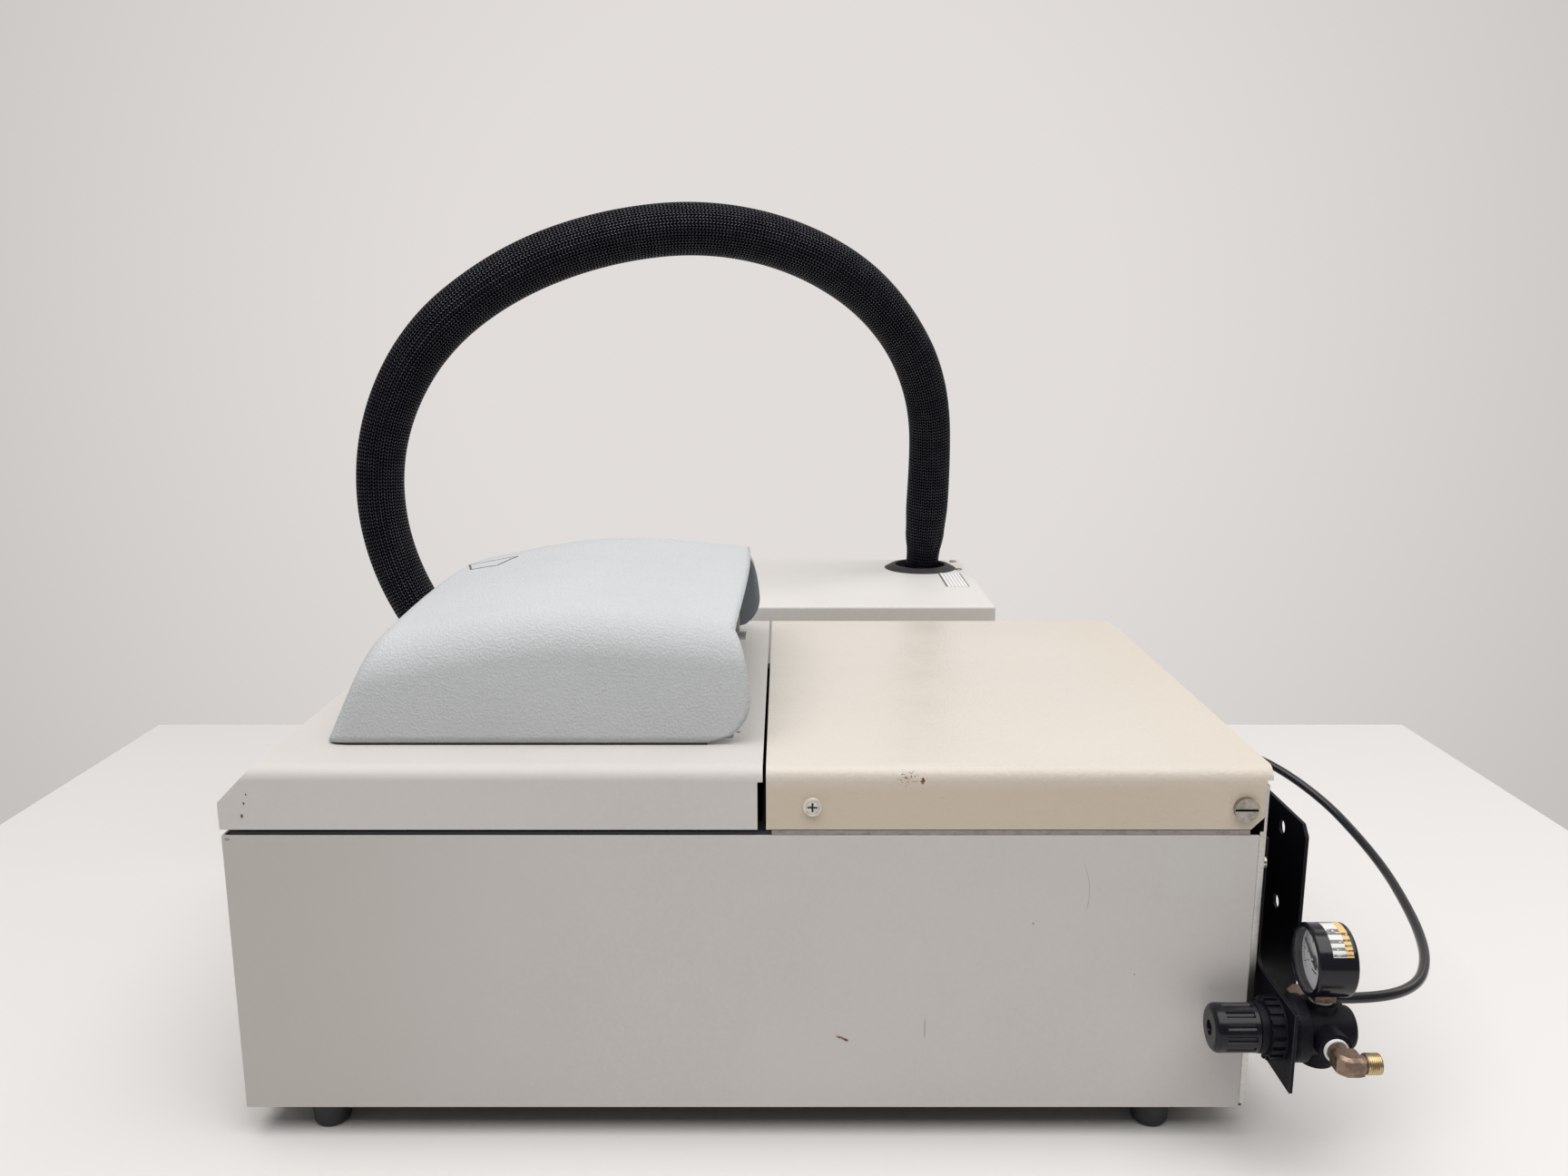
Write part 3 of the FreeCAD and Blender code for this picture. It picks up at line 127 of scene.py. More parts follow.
# ---- node materials ------------------------------------------------------------------
class Look:
    """One procedural material: a Principled shader and what feeds it."""

    def __init__(self, name, rough=0.5, metal=0.0, specular=0.5):
        self.material = bpy.data.materials.new(name)
        self.material.use_nodes = True
        self.tree = self.material.node_tree
        self.tree.nodes.clear()
        output = self.tree.nodes.new("ShaderNodeOutputMaterial")
        self.shader = self.tree.nodes.new("ShaderNodeBsdfPrincipled")
        self.tree.links.new(self.shader.outputs["BSDF"], output.inputs["Surface"])
        self.where = self.tree.nodes.new("ShaderNodeTexCoord").outputs["Object"]
        self.normal = None
        self.put("Roughness", rough)
        self.put("Metallic", metal)
        self.put("Specular IOR Level", specular)

    def offset(self, x, y, z):
        """Object coordinates counted from a place of the instrument, in millimetres, as x, y, z."""
        moved = self.node("ShaderNodeMapping", Vector=self.where)
        moved.inputs["Location"].default_value = -at(x, y, z) / MM
        moved.inputs["Scale"].default_value = (1 / MM, 1 / MM, 1 / MM)
        parts = self.node("ShaderNodeSeparateXYZ", Vector=moved.outputs["Vector"])
        return parts.outputs["X"], parts.outputs["Y"], parts.outputs["Z"]

    def distance(self, a, b):
        squares = self.math("ADD", self.math("MULTIPLY", a, a), self.math("MULTIPLY", b, b))
        return self.math("SQRT", squares)

    def both(self, *shares):
        product = shares[0]
        for share in shares[1:]:
            product = self.math("MULTIPLY", product, share)
        return product

    def between(self, value, start, end, soft=0.08):
        rise = self.span(value, start - soft, start + soft)
        return self.both(rise, self.span(value, end - soft, end + soft, 1.0, 0.0))

    def put(self, socket, value):
        self.plug(self.shader.inputs[socket], value)

    def plug(self, socket, value):
        if isinstance(value, bpy.types.NodeSocket):
            self.tree.links.new(value, socket)
        elif isinstance(value, tuple) and len(value) == 3 and socket.type == "RGBA":
            socket.default_value = (*value, 1)
        else:
            socket.default_value = value

    def node(self, kind, settings=None, **inputs):
        made = self.tree.nodes.new(kind)
        for key, value in (settings or {}).items():
            setattr(made, key, value)
        for key, value in inputs.items():
            self.plug(made.inputs[key.replace("_", " ")], value)
        return made

    def math(self, operation, a, b=0.0):
        made = self.tree.nodes.new("ShaderNodeMath")
        made.operation = operation
        self.plug(made.inputs[0], a)
        self.plug(made.inputs[1], b)
        return made.outputs[0]

    def span(self, value, start, end, to_start=0.0, to_end=1.0):
        """value from start..end to to_start..to_end, held at both ends."""
        made = self.tree.nodes.new("ShaderNodeMapRange")
        made.interpolation_type = "SMOOTHSTEP"
        self.plug(made.inputs["Value"], value)
        self.plug(made.inputs["From Min"], start)
        self.plug(made.inputs["From Max"], end)
        self.plug(made.inputs["To Min"], to_start)
        self.plug(made.inputs["To Max"], to_end)
        return made.outputs["Result"]

    def noise(self, size_mm, detail=2.0, rough=0.5, where=None):
        """Noise from 0 to 1 whose patches are about size_mm across."""
        made = self.node("ShaderNodeTexNoise", Vector=where or self.where,
                         Scale=1 / (size_mm * MM), Detail=detail, Roughness=rough)
        return made.outputs["Fac"]

    def cells(self, size_mm, feature="F1", where=None):
        made = self.node("ShaderNodeTexVoronoi", {"feature": feature},
                         Vector=where or self.where, Scale=1 / (size_mm * MM))
        return made.outputs["Distance"]

    def stretched(self, x, y, z):
        """Object coordinates times a factor along each axis, for grain that runs one way."""
        made = self.node("ShaderNodeMapping", Vector=self.where)
        made.inputs["Scale"].default_value = (x, y, z)
        return made.outputs["Vector"]

    def axis(self, letter, where=None):
        made = self.node("ShaderNodeSeparateXYZ", Vector=where or self.where)
        return made.outputs[letter.upper()]

    def mix(self, share, a, b):
        made = self.tree.nodes.new("ShaderNodeMix")
        made.data_type = "RGBA"
        self.plug(made.inputs["Factor"], share)
        self.plug(made.inputs[6], a)
        self.plug(made.inputs[7], b)
        return made.outputs[2]

    def bump(self, height, depth_mm, strength=1.0):
        made = self.node("ShaderNodeBump", Height=height, Distance=depth_mm * MM, Strength=strength)
        if self.normal:
            self.tree.links.new(self.normal, made.inputs["Normal"])
        self.normal = made.outputs["Normal"]
        self.put("Normal", self.normal)

    def mark(self, place, radii, ragged=0.6, grain_mm=1.5):
        """1 inside a ragged patch round a place of the instrument, 0 outside it."""
        offset = self.node("ShaderNodeVectorMath", {"operation": "SUBTRACT"})
        self.plug(offset.inputs[0], self.where)
        self.plug(offset.inputs[1], tuple(at(*place)))
        scaled = self.node("ShaderNodeVectorMath", {"operation": "DIVIDE"})
        self.plug(scaled.inputs[0], offset.outputs[0])
        self.plug(scaled.inputs[1], tuple(r * MM for r in radii))
        length = self.node("ShaderNodeVectorMath", {"operation": "LENGTH"})
        self.plug(length.inputs[0], scaled.outputs[0])
        rough_edge = self.math("MULTIPLY", self.noise(grain_mm, 3, 0.7), ragged * 2)
        reach = self.math("ADD", length.outputs["Value"], rough_edge)
        return self.span(reach, 0.9 + ragged * 0.6, 1.05 + ragged * 0.6, 1.0, 0.0)


def darker(colour, factor):
    return tuple(c * factor for c in colour)


def paint(name, colour, texture_mm=0.9, relief_mm=0.05, rough=0.5, mottle=0.05):
    """Sprayed paint: a slight mottle, a fine texture and soiling in broad soft patches."""
    look = Look(name, specular=0.4)
    broad = look.noise(160, 3, 0.55)
    fine = look.noise(2.2, 3, 0.6)
    shade = look.mix(look.span(broad, 0.3, 0.7), darker(colour, 1 - mottle), colour)
    shade = look.mix(look.span(fine, 0.35, 0.75, 0.0, 0.5), shade, darker(colour, 1 + mottle * 0.6))
    look.put("Roughness", look.span(look.noise(45, 3, 0.6), 0.3, 0.75, rough - 0.06, rough + 0.08))
    look.bump(look.noise(texture_mm, 2, 0.55), relief_mm, 0.7)
    look.base = shade
    return look


def finish_paint(look):
    look.put("Base Color", look.base)
    return look.material


RUST = (0.16, 0.055, 0.02)
SCRATCH = (0.11, 0.10, 0.095)


def case_paint():
    look = paint("case_paint", (0.585, 0.565, 0.55))
    # painted shade: the paint is darkened towards the panel's left end, standing in for light that falls
    # off there
    painted_left_shade = look.span(look.axis("X"), at(0, 0, 0).x, at(230, 0, 0).x, 0.75, 0.0)
    look.base = look.mix(painted_left_shade, look.base, (0.48, 0.455, 0.425))
    x, _, z = look.offset(330, 0, 60)
    slanted = look.math("ADD", z, look.math("MULTIPLY", x, 0.45))
    streak = look.both(look.between(slanted, -0.7, 0.8, 0.4), look.between(x, -3.4, 3.2, 0.6),
                       look.span(look.noise(1.3, 3, 0.7), 0.42, 0.5))
    look.base = look.mix(streak, look.base, RUST)
    look.base = look.mix(look.mark((332, 0, 59), (1.3, 3, 0.9), 0.4, 0.8), look.base, RUST)
    faint = tuple(0.6 * a + 0.4 * b for a, b in zip(SCRATCH, (0.58, 0.56, 0.54)))
    nicks = ((375, 66, 0.35, 8), (432, 128, 0.7, 0.9), (488, 98, 0.5, 0.8), (3, 176, 2, 1))
    for (x, z, wide, tall) in nicks:
        look.base = look.mix(look.mark((x, 0, z), (wide, 3, tall), 0.5, 1.0), look.base, faint)
    x, _, z = look.offset(461, 0, 150)
    bowed = look.math("ADD", x, look.math("MULTIPLY", look.math("MULTIPLY", z, z), 0.012))
    bowed = look.math("ADD", bowed, look.math("MULTIPLY", z, 0.12))
    hairline = look.both(look.between(bowed, -0.16, 0.16, 0.12), look.between(z, -14, 12, 3))
    look.base = look.mix(look.math("MULTIPLY", hairline, 0.7), look.base, faint)
    x, _, z = look.offset(519, 0, 160)
    patch = look.both(look.between(x, -17, 18, 1.5), look.between(z, -15, 14, 1.5))
    look.base = look.mix(look.math("MULTIPLY", patch, 0.4), look.base, (0.575, 0.585, 0.57))
    return finish_paint(look)


def deck_paint():
    look = paint("deck_paint", (0.61, 0.59, 0.57))
    chips = ((12, 0, 189, 0.9), (13.5, 0, 196, 0.7), (15, 0, 201, 0.5), (100, 2, 215, 1.0),
             (101.5, 1, 213, 0.5), (272, 60, 216, 1.5), (268, 96, 216, 1.2), (175, 0, 212, 0.8))
    for (x, y, z, size) in chips:
        look.base = look.mix(look.mark((x, y, z), (size, size, size * 1.6), 0.5, 0.7), look.base, SCRATCH)
    return finish_paint(look)


def cover_paint():
    """Paint that light and heat have turned beige, most of all on the turned-down edge."""
    look = paint("cover_paint", (0.66, 0.62, 0.56), texture_mm=2.4, relief_mm=0.42, rough=0.34)
    edge = look.span(look.axis("Z"), at(0, 0, 201).z, at(0, 0, 215).z, 1.0, 0.0)
    look.base = look.mix(edge, look.base, (0.60, 0.515, 0.415))
    rear = look.span(look.axis("X"), at(480, 0, 0).x, at(556, 0, 0).x, 0.0, 0.5)
    look.base = look.mix(rear, look.base, (0.64, 0.57, 0.48))
    speckle = look.span(look.noise(0.9, 3, 0.75), 0.54, 0.6)
    scuffed = look.mark((364, 2, 210), (11, 8, 5), 0.8, 2.4)
    look.base = look.mix(look.math("MULTIPLY", scuffed, speckle), look.base, RUST)
    look.base = look.mix(look.mark((371, 1, 208.5), (1.9, 5, 2.6), 0.9, 0.8), look.base, RUST)
    return finish_paint(look)


def cooler_paint():
    return finish_paint(paint("cooler_paint", (0.72, 0.705, 0.685)))


def hood_plastic():
    """Pale blue-grey moulding with a pebbled grain."""
    look = Look("hood_plastic", specular=0.35)
    colour = (0.575, 0.60, 0.62)
    broad = look.noise(90, 3, 0.55)
    shade = look.mix(look.span(broad, 0.3, 0.7), darker(colour, 0.96), colour)
    pebbles = look.cells(1.25, "SMOOTH_F1")
    fine = look.noise(0.7, 2, 0.5)
    grain = look.math("ADD", look.span(pebbles, 0.05, 0.65, 1.0, 0.0), look.math("MULTIPLY", fine, 0.5))
    shade = look.mix(look.span(grain, 0.2, 1.2, 0.25, 0.0), shade, darker(colour, 0.8))
    look.put("Base Color", shade)
    look.put("Roughness", look.span(grain, 0.2, 1.2, 0.62, 0.5))
    look.bump(grain, 0.22, 0.9)
    return look.material


def hood_inside_painted_shade():
    # painted shade: the hood's inner faces and hinge bosses get a dark blue-grey that stands in for the
    # shade inside the hood
    look = Look("hood_inside_painted_shade", rough=0.55)
    colour = (0.20, 0.235, 0.27)
    look.put("Base Color", look.mix(look.noise(60, 3), colour, darker(colour, 0.82)))
    look.bump(look.noise(0.8, 2), 0.04)
    return look.material


def braid():
    """Braided monofilament sleeve: rows of slanted strands that lean each way in turn."""
    look = Look("braid")
    uv = look.node("ShaderNodeUVMap", {"uv_map": "braid"}).outputs["UV"]
    across = look.math("MULTIPLY", look.axis("X", uv), BRAID_ROWS)
    along = look.math("MULTIPLY", look.axis("Y", uv), 1 / (BRAID_PITCH * MM))
    zigzag = look.math("PINGPONG", across, 1.0)
    slant = look.math("FRACT", look.math("ADD", along, look.math("MULTIPLY", zigzag, 0.85)))
    strand = look.math("SINE", look.math("MULTIPLY", slant, math.pi))
    row = look.math("ABSOLUTE", look.math("SINE", look.math("MULTIPLY", across, math.pi)))
    height = look.math("MULTIPLY", look.math("POWER", strand, 0.7), look.math("POWER", row, 0.45))
    worn = look.span(look.noise(11, 3, 0.6), 0.3, 0.75)
    # painted highlight and shade: strand crests are painted lighter and the gaps between strands near
    # black, standing in for light on the crests and shade between them; the worn noise varies the crests'
    # colour
    lit = look.mix(worn, (0.013, 0.013, 0.024), (0.022, 0.022, 0.040))
    crest = look.span(height, 0.6, 0.98)
    look.put("Base Color", look.mix(crest, (0.0025, 0.0025, 0.0045), lit))
    look.put("Specular IOR Level", look.math("MULTIPLY", crest, look.span(worn, 0, 1, 0.55, 0.85)))
    look.put("Roughness", look.span(height, 0.3, 0.95, 0.7, 0.24))
    look.bump(height, 0.8, 1.0)
    return look.material


def rubber(name="rubber", colour=(0.018, 0.018, 0.019), rough=0.6):
    look = Look(name)
    dust = look.span(look.noise(9, 4, 0.65), 0.45, 0.8)
    look.put("Base Color", look.mix(dust, colour, tuple(c * 1.6 + 0.008 for c in colour)))
    look.put("Roughness", look.span(dust, 0, 1, rough, rough + 0.15))
    look.bump(look.noise(0.6, 2), 0.03)
    return look.material


def plastic(name, colour, rough, texture_mm=0.5, relief_mm=0.02, specular=0.5):
    look = Look(name, specular=specular)
    wear = look.span(look.noise(7, 4, 0.7), 0.5, 0.8)
    look.put("Base Color", look.mix(wear, colour, tuple(c * 1.25 + 0.003 for c in colour)))
    look.put("Roughness", look.span(wear, 0, 1, rough, rough + 0.14))
    look.bump(look.noise(texture_mm, 2), relief_mm)
    return look.material


def metal(name, colour, rough, stretch=(1, 1, 1), grain_mm=0.4, tarnish=None, tarnish_share=0.5):
    """Plain or brushed metal, with an optional tarnish in patches."""
    look = Look(name, metal=1.0)
    lines = look.noise(grain_mm, 3, 0.6, look.stretched(*stretch))
    shade = look.mix(look.span(lines, 0.3, 0.7), darker(colour, 0.86), colour)
    dull = look.span(look.noise(6, 4, 0.65), 0.62 - tarnish_share * 0.3, 0.8 - tarnish_share * 0.3)
    if tarnish:
        shade = look.mix(dull, shade, tarnish)
    look.put("Base Color", shade)
    look.put("Roughness", look.span(dull, 0, 1, rough, rough + 0.2))
    look.bump(lines, 0.012, 0.8)
    return look.material


def glass():
    look = Look("lens_glass", rough=0.08, specular=0.5)
    look.put("Base Color", look.mix(look.noise(12, 2), (0.72, 0.74, 0.76), (0.62, 0.65, 0.68)))
    look.put("Alpha", look.span(look.noise(9, 3), 0.3, 0.7, 0.05, 0.09))
    return look.material


def dial():
    """Printed gauge face: two rings of marks round its edge and blocks where the figures would be."""
    look = Look("dial_print", rough=0.5)
    centre = (low("gauge_dial") + high("gauge_dial")) / 2
    _, y, z = look.offset(*centre)
    radius = look.distance(y, z)
    angle = look.math("ARCTAN2", z, y)
    fine = look.math("PINGPONG", look.math("MULTIPLY", angle, 60 / math.tau), 0.5)
    bold = look.math("PINGPONG", look.math("MULTIPLY", angle, 12 / math.tau), 0.5)
    marks = look.both(look.between(radius, 13.2, 15.0), look.span(fine, 0.10, 0.16, 1.0, 0.0))
    major = look.both(look.between(radius, 11.6, 15.0), look.span(bold, 0.035, 0.05, 1.0, 0.0))
    figures = look.both(look.between(radius, 8.3, 10.3), look.span(bold, 0.10, 0.13, 1.0, 0.0),
                        look.span(look.noise(0.9, 2), 0.42, 0.52))
    ink = look.math("MAXIMUM", look.math("MAXIMUM", marks, major), figures)
    gap = look.span(look.math("ADD", z, look.math("MULTIPLY", radius, 0.72)), -0.2, 0.2)
    trade = look.both(look.between(z, -7.6, -6.6), look.between(y, -3, 3))
    ink = look.math("MAXIMUM", look.math("MULTIPLY", ink, gap), trade)
    paper = look.mix(look.noise(8, 2), (0.84, 0.85, 0.88), (0.78, 0.79, 0.83))
    look.put("Base Color", look.mix(ink, paper, (0.03, 0.03, 0.035)))
    return look.material


def printed(name, paper, ink, letter, pitch_mm, share=0.45):
    """Label stock with rows of grey marks in place of words."""
    look = Look(name, rough=0.45)
    rows = look.math("FRACT", look.math("MULTIPLY", look.axis(letter), 1 / (pitch_mm * MM)))
    printed_rows = look.span(rows, share, share + 0.08, 1.0, 0.0)
    marks = look.both(printed_rows, look.span(look.noise(1.1, 2), 0.36, 0.46))
    look.put("Base Color", look.mix(marks, paper, ink))
    return look.material


def screw_head(name, node, place, reach, colour, metal_share, slot_half=None):
    """Screw whose driver recess is painted dark as painted shade; place is the screw's x and z."""
    look = Look(name, rough=0.3, metal=metal_share)
    x, y, z = look.offset(place[0], 0, place[1])
    radius = look.distance(x, z)
    inside = look.between(y, low(node).y + 0.55, high(node).y - 0.55, 0.12)
    # painted shade inside the driver recess, narrowed to the slot on slotted screws; heads without a slot
    # also get a dark ring at the washer's edge at half strength
    recess = look.both(inside, look.span(radius, reach - 0.1, reach + 0.1, 1.0, 0.0))
    if slot_half:
        recess = look.both(recess, look.between(z, -slot_half, slot_half, 0.1))
    else:
        ring = look.between(radius, 3.3, 3.6, 0.12)
        recess = look.math("MAXIMUM", recess, look.math("MULTIPLY", ring, 0.45))
    shade = look.mix(look.span(look.noise(3, 3, 0.6), 0.4, 0.7), colour, darker(colour, 0.72))
    look.put("Base Color", look.mix(recess, shade, (0.02, 0.018, 0.016)))
    look.put("Roughness", look.span(look.noise(2, 3), 0.3, 0.7, 0.22, 0.42))
    return look.material


def board():
    """Green circuit board, with lighter tracks and dark parts on it."""
    look = Look("circuit_board", rough=0.4)
    tracks = look.cells(4, "DISTANCE_TO_EDGE")
    green = look.mix(look.span(tracks, 0.02, 0.05), (0.03, 0.16, 0.07), (0.01, 0.07, 0.035))
    above = look.span(look.axis("Z"), at(0, 0, 31.8).z, at(0, 0, 32.2).z)
    look.put("Base Color", look.mix(above, green, (0.02, 0.02, 0.02)))
    return look.material


def table_look():
    look = Look("table", rough=0.5, specular=0.25)
    look.put("Base Color", look.mix(look.noise(900, 3), (0.75, 0.74, 0.735), (0.78, 0.77, 0.765)))
    look.bump(look.noise(3, 2), 0.01)
    return look.material


# ---- mesh helpers --------------------------------------------------------------------
def piece(name, points, faces, material, body, smooth=True):
    mesh = bpy.data.meshes.new(name)
    mesh.from_pydata([tuple(p) for p in points], [], faces)
    mesh.update()
    made = bpy.data.objects.new(name, mesh)
    bpy.context.scene.collection.objects.link(made)
    mesh.materials.append(material)
    mesh.polygons.foreach_set("use_smooth", [smooth] * len(mesh.polygons))
    if body:
        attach(made, body)
    return made


def soften(made, width_mm, segments=2, weld=False, angle=32, worn=-1):
    """Small rounded edges, with shading that keeps the flat faces flat."""
    if weld:
        joined = made.modifiers.new("weld", "WELD")
        joined.merge_threshold = 0.00001
    edge = made.modifiers.new("edge", "BEVEL")
    edge.width = width_mm * MM
    edge.segments = segments
    edge.limit_method = "ANGLE"
    edge.angle_limit = math.radians(angle)
    edge.material = worn
    shading = made.modifiers.new("shading", "WEIGHTED_NORMAL")
    shading.keep_sharp = False
    return made


def dress(node, material, width_mm=0.0, extra=None):
    """Gives a CAD node its material and, where asked, small rounded edges."""
    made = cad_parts[node]
    mesh = made.data
    mesh.materials.clear()
    mesh.materials.append(material)
    if extra:
        mesh.materials.append(extra)
    if width_mm:
        mesh.polygons.foreach_set("use_smooth", [True] * len(mesh.polygons))
        for layer in ("custom_normal", "sharp_edge", "sharp_face"):
            if layer in mesh.attributes:
                mesh.attributes.remove(mesh.attributes[layer])
        soften(made, width_mm, weld=True, worn=1 if extra else -1)
    return made


# ---- cooling hose and air tube -------------------------------------------------------
HOSE_ROUTE = (
    (60, 384, 135), (9, 384, 192), (-30, 391, 271), (-31, 398, 356), (6, 407, 433),
    (73, 418, 485), (152, 432, 515), (236, 446, 525), (316, 465, 508), (383, 490, 466),
    (428, 518, 395), (434, 541, 300), (427, 548, 204),
)
# share of the length, radius of the sleeve there
HOSE_RADII = ((0.0, 18.6), (0.2, 18.8), (0.36, 20.4), (0.45, 21.2), (0.68, 21.2), (0.78, 19.6),
              (0.86, 18.6), (0.925, 19.2), (0.952, 17.8), (0.972, 14.7), (1.0, 14.2))
TUBE_DIAMETER = 6.0
TUBE_ROUTE = (
    (600, 10, 78.5), (626, 10, 78), (657, 27, 76), (677, 57, 76),
    (689, 91, 78), (696, 127, 82), (701, 164, 86), (701, 203, 92), (691, 238, 105),
    (668, 269, 120), (641, 298, 127), (608, 319, 129), (578, 322, 129),
)
BRAID_ROWS = 56
BRAID_PITCH = 2.8


def spline(name, route, resolution=12):
    """Open NURBS curve with the route's points as its control points."""
    data = bpy.data.curves.new(name, "CURVE")
    data.dimensions = "3D"
    line = data.splines.new("NURBS")
    line.points.add(len(route) - 1)
    for point, place in zip(line.points, route):
        point.co = (*at(*place), 1)
    line.order_u = 3
    line.use_endpoint_u = True
    line.resolution_u = resolution
    made = bpy.data.objects.new(name, data)
    bpy.context.scene.collection.objects.link(made)
    return made


def line_of(curve):
    """Points along a curve that has no bevel."""
    bpy.context.view_layer.update()
    evaluated = curve.evaluated_get(bpy.context.evaluated_depsgraph_get())
    mesh = bpy.data.meshes.new_from_object(evaluated)
    points = [v.co.copy() for v in mesh.vertices]
    bpy.data.meshes.remove(mesh)
    return points


def frames_along(points):
    """(point, side, up) at each point, turned as little as possible on the way."""
    made = []
    side = Vector((0, 1, 0))
    for i, point in enumerate(points):
        before = points[max(i - 1, 0)]
        after = points[min(i + 1, len(points) - 1)]
        tangent = (after - before).normalized()
        side = (side - tangent * side.dot(tangent)).normalized()
        made.append((point, side, tangent.cross(side)))
    return made


def blend_value(share, table):
    """Smooth reading of a table of (share, value) pairs."""
    for (s0, v0), (s1, v1) in zip(table, table[1:]):
        if share <= s1:
            t = (share - s0) / (s1 - s0)
            t = t * t * (3 - 2 * t)
            return v0 + (v1 - v0) * t
    return table[-1][1]


def cooling_hose():
    """Insulated hose in a braided sleeve that swells over the top and gathers at its end."""
    around = 64
    points = line_of(spline("hose_line", HOSE_ROUTE, 24))
    bpy.data.objects.remove(bpy.data.objects["hose_line"])
    lengths = [0.0]
    for a, b in zip(points, points[1:]):
        lengths.append(lengths[-1] + (b - a).length)
    total = lengths[-1]
    verts = []
    for (centre, side, up), length in zip(frames_along(points), lengths):
        share = length / total
        radius = blend_value(share, HOSE_RADII)
        gather = max(0.0, min(1.0, (share - 0.94) / 0.03))
        for step in range(around):
            angle = 2 * math.pi * step / around
            fold = 0.16 * math.sin(5 * angle + 9 * share) + 0.12 * math.sin(3 * angle - 23 * share)
            pucker = gather * 0.5 * math.sin(11 * angle + 2)
            r = (radius + fold + pucker) * MM
            verts.append(centre + side * (r * math.cos(angle)) + up * (r * math.sin(angle)))
    faces = []
    for i in range(len(points) - 1):
        for j in range(around):
            k = (j + 1) % around
            faces.append((i * around + j, (i + 1) * around + j, (i + 1) * around + k, i * around + k))
    faces.append(tuple(range(around)))
    faces.append(tuple(reversed(range(len(verts) - around, len(verts)))))
    made = piece("cooling_hose_sleeve", verts, faces, braid(), "root")
    layer = made.data.uv_layers.new(name="braid")
    for polygon in made.data.polygons:
        for corner, vertex in zip(polygon.loop_indices, polygon.vertices):
            ring, step = divmod(vertex, around)
            wrapped = step + (around if step == 0 and len(polygon.vertices) == 4
                              and max(v % around for v in polygon.vertices) == around - 1 else 0)
            layer.data[corner].uv = (wrapped / around, lengths[ring])
    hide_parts("cooling_hose")


def air_tube():
    made = spline("air_tube_line", TUBE_ROUTE, 16)
    made.data.bevel_resolution = 6
    made.data.use_fill_caps = True
    made.data.materials.append(plastic("tube_gloss", (0.010, 0.010, 0.012), 0.2, 3.0, 0.02, 0.45))
    points = line_of(made)
    made.data.bevel_depth = TUBE_DIAMETER / 2 * MM
    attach(made, "root")
    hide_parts("air_tube")


# ---- hood ----------------------------------------------------------------------------
HOOD_SLOPE_RUN = 23.5
HOOD_SLOPE_RISE = 51.0
HOOD_WALL = 3.0
HOOD_DRAFT = 0.035
HOOD_CORNER = 24.0
HOOD_SHOULDER = 22.0
HOOD_NOSE = 7.5
HOOD_ROOF_COSINE = 0.97
# the roof bends down over this run to its lip above the hinge
HOOD_LIP_START = 262.0
HOOD_LIP_RUN = 17.0
HOOD_LIP_DROP = 2.6
# the open rear edge leans forward towards the top and bows back in the middle
HOOD_REAR_LEAN = 8.5
HOOD_REAR_BOW = 4.5
# height of the grid that the moulding's surface is pulled from
HOOD_GRID_TOP = 290.0
# x, height of the shoulders, height of the crown
HOOD_STATIONS = ((30.0, 271.0, 274.5), (80.0, 272.5, 283.5), (135.0, 284.5, 291.5),
                 (195.0, 287.0, 299.5), (245.0, 284.0, 293.5), (300.0, 286.0, 287.0))


def hood_roof(x, y, near, far):
    """Height of the hood's crowned top before its edges are rounded."""
    xs = [s[0] for s in HOOD_STATIONS]
    shoulder = np.polyval(np.polyfit(xs, [s[1] for s in HOOD_STATIONS], 4), x)
    crown = np.polyval(np.polyfit(xs, [s[2] for s in HOOD_STATIONS], 4), x)
    across = (y - (near + far) / 2) / ((far - near) / 2)
    rolled_lip = HOOD_LIP_DROP * np.clip((x - HOOD_LIP_START) / HOOD_LIP_RUN, 0, 1) ** 2
    return shoulder + (crown - shoulder) * (1 - np.clip(across ** 2, 0, 1.4)) - rolled_lip


def rounded_inside(parts, radius):
    """Signed distance of a body bounded by several faces, its edges rounded."""
    parts = np.stack(parts)
    outside = np.sqrt((np.clip(radius + parts, 0, None) ** 2).sum(axis=0))
    return np.minimum(-radius, parts.max(axis=0)) + outside


def hood_distance(p, near, far, front, base):
    x, y, z = p[..., 0], p[..., 1], p[..., 2]
    lean = HOOD_DRAFT * (z - base)
    slope = math.hypot(HOOD_SLOPE_RUN, HOOD_SLOPE_RISE)
    roof = (z - hood_roof(x, y, near, far)) * HOOD_ROOF_COSINE
    shell = rounded_inside([near + lean - y, y - far + lean, roof], HOOD_SHOULDER)
    nose = ((front - x) * HOOD_SLOPE_RISE + (z - base) * HOOD_SLOPE_RUN) / slope
    return rounded_inside([shell, nose], HOOD_NOSE)


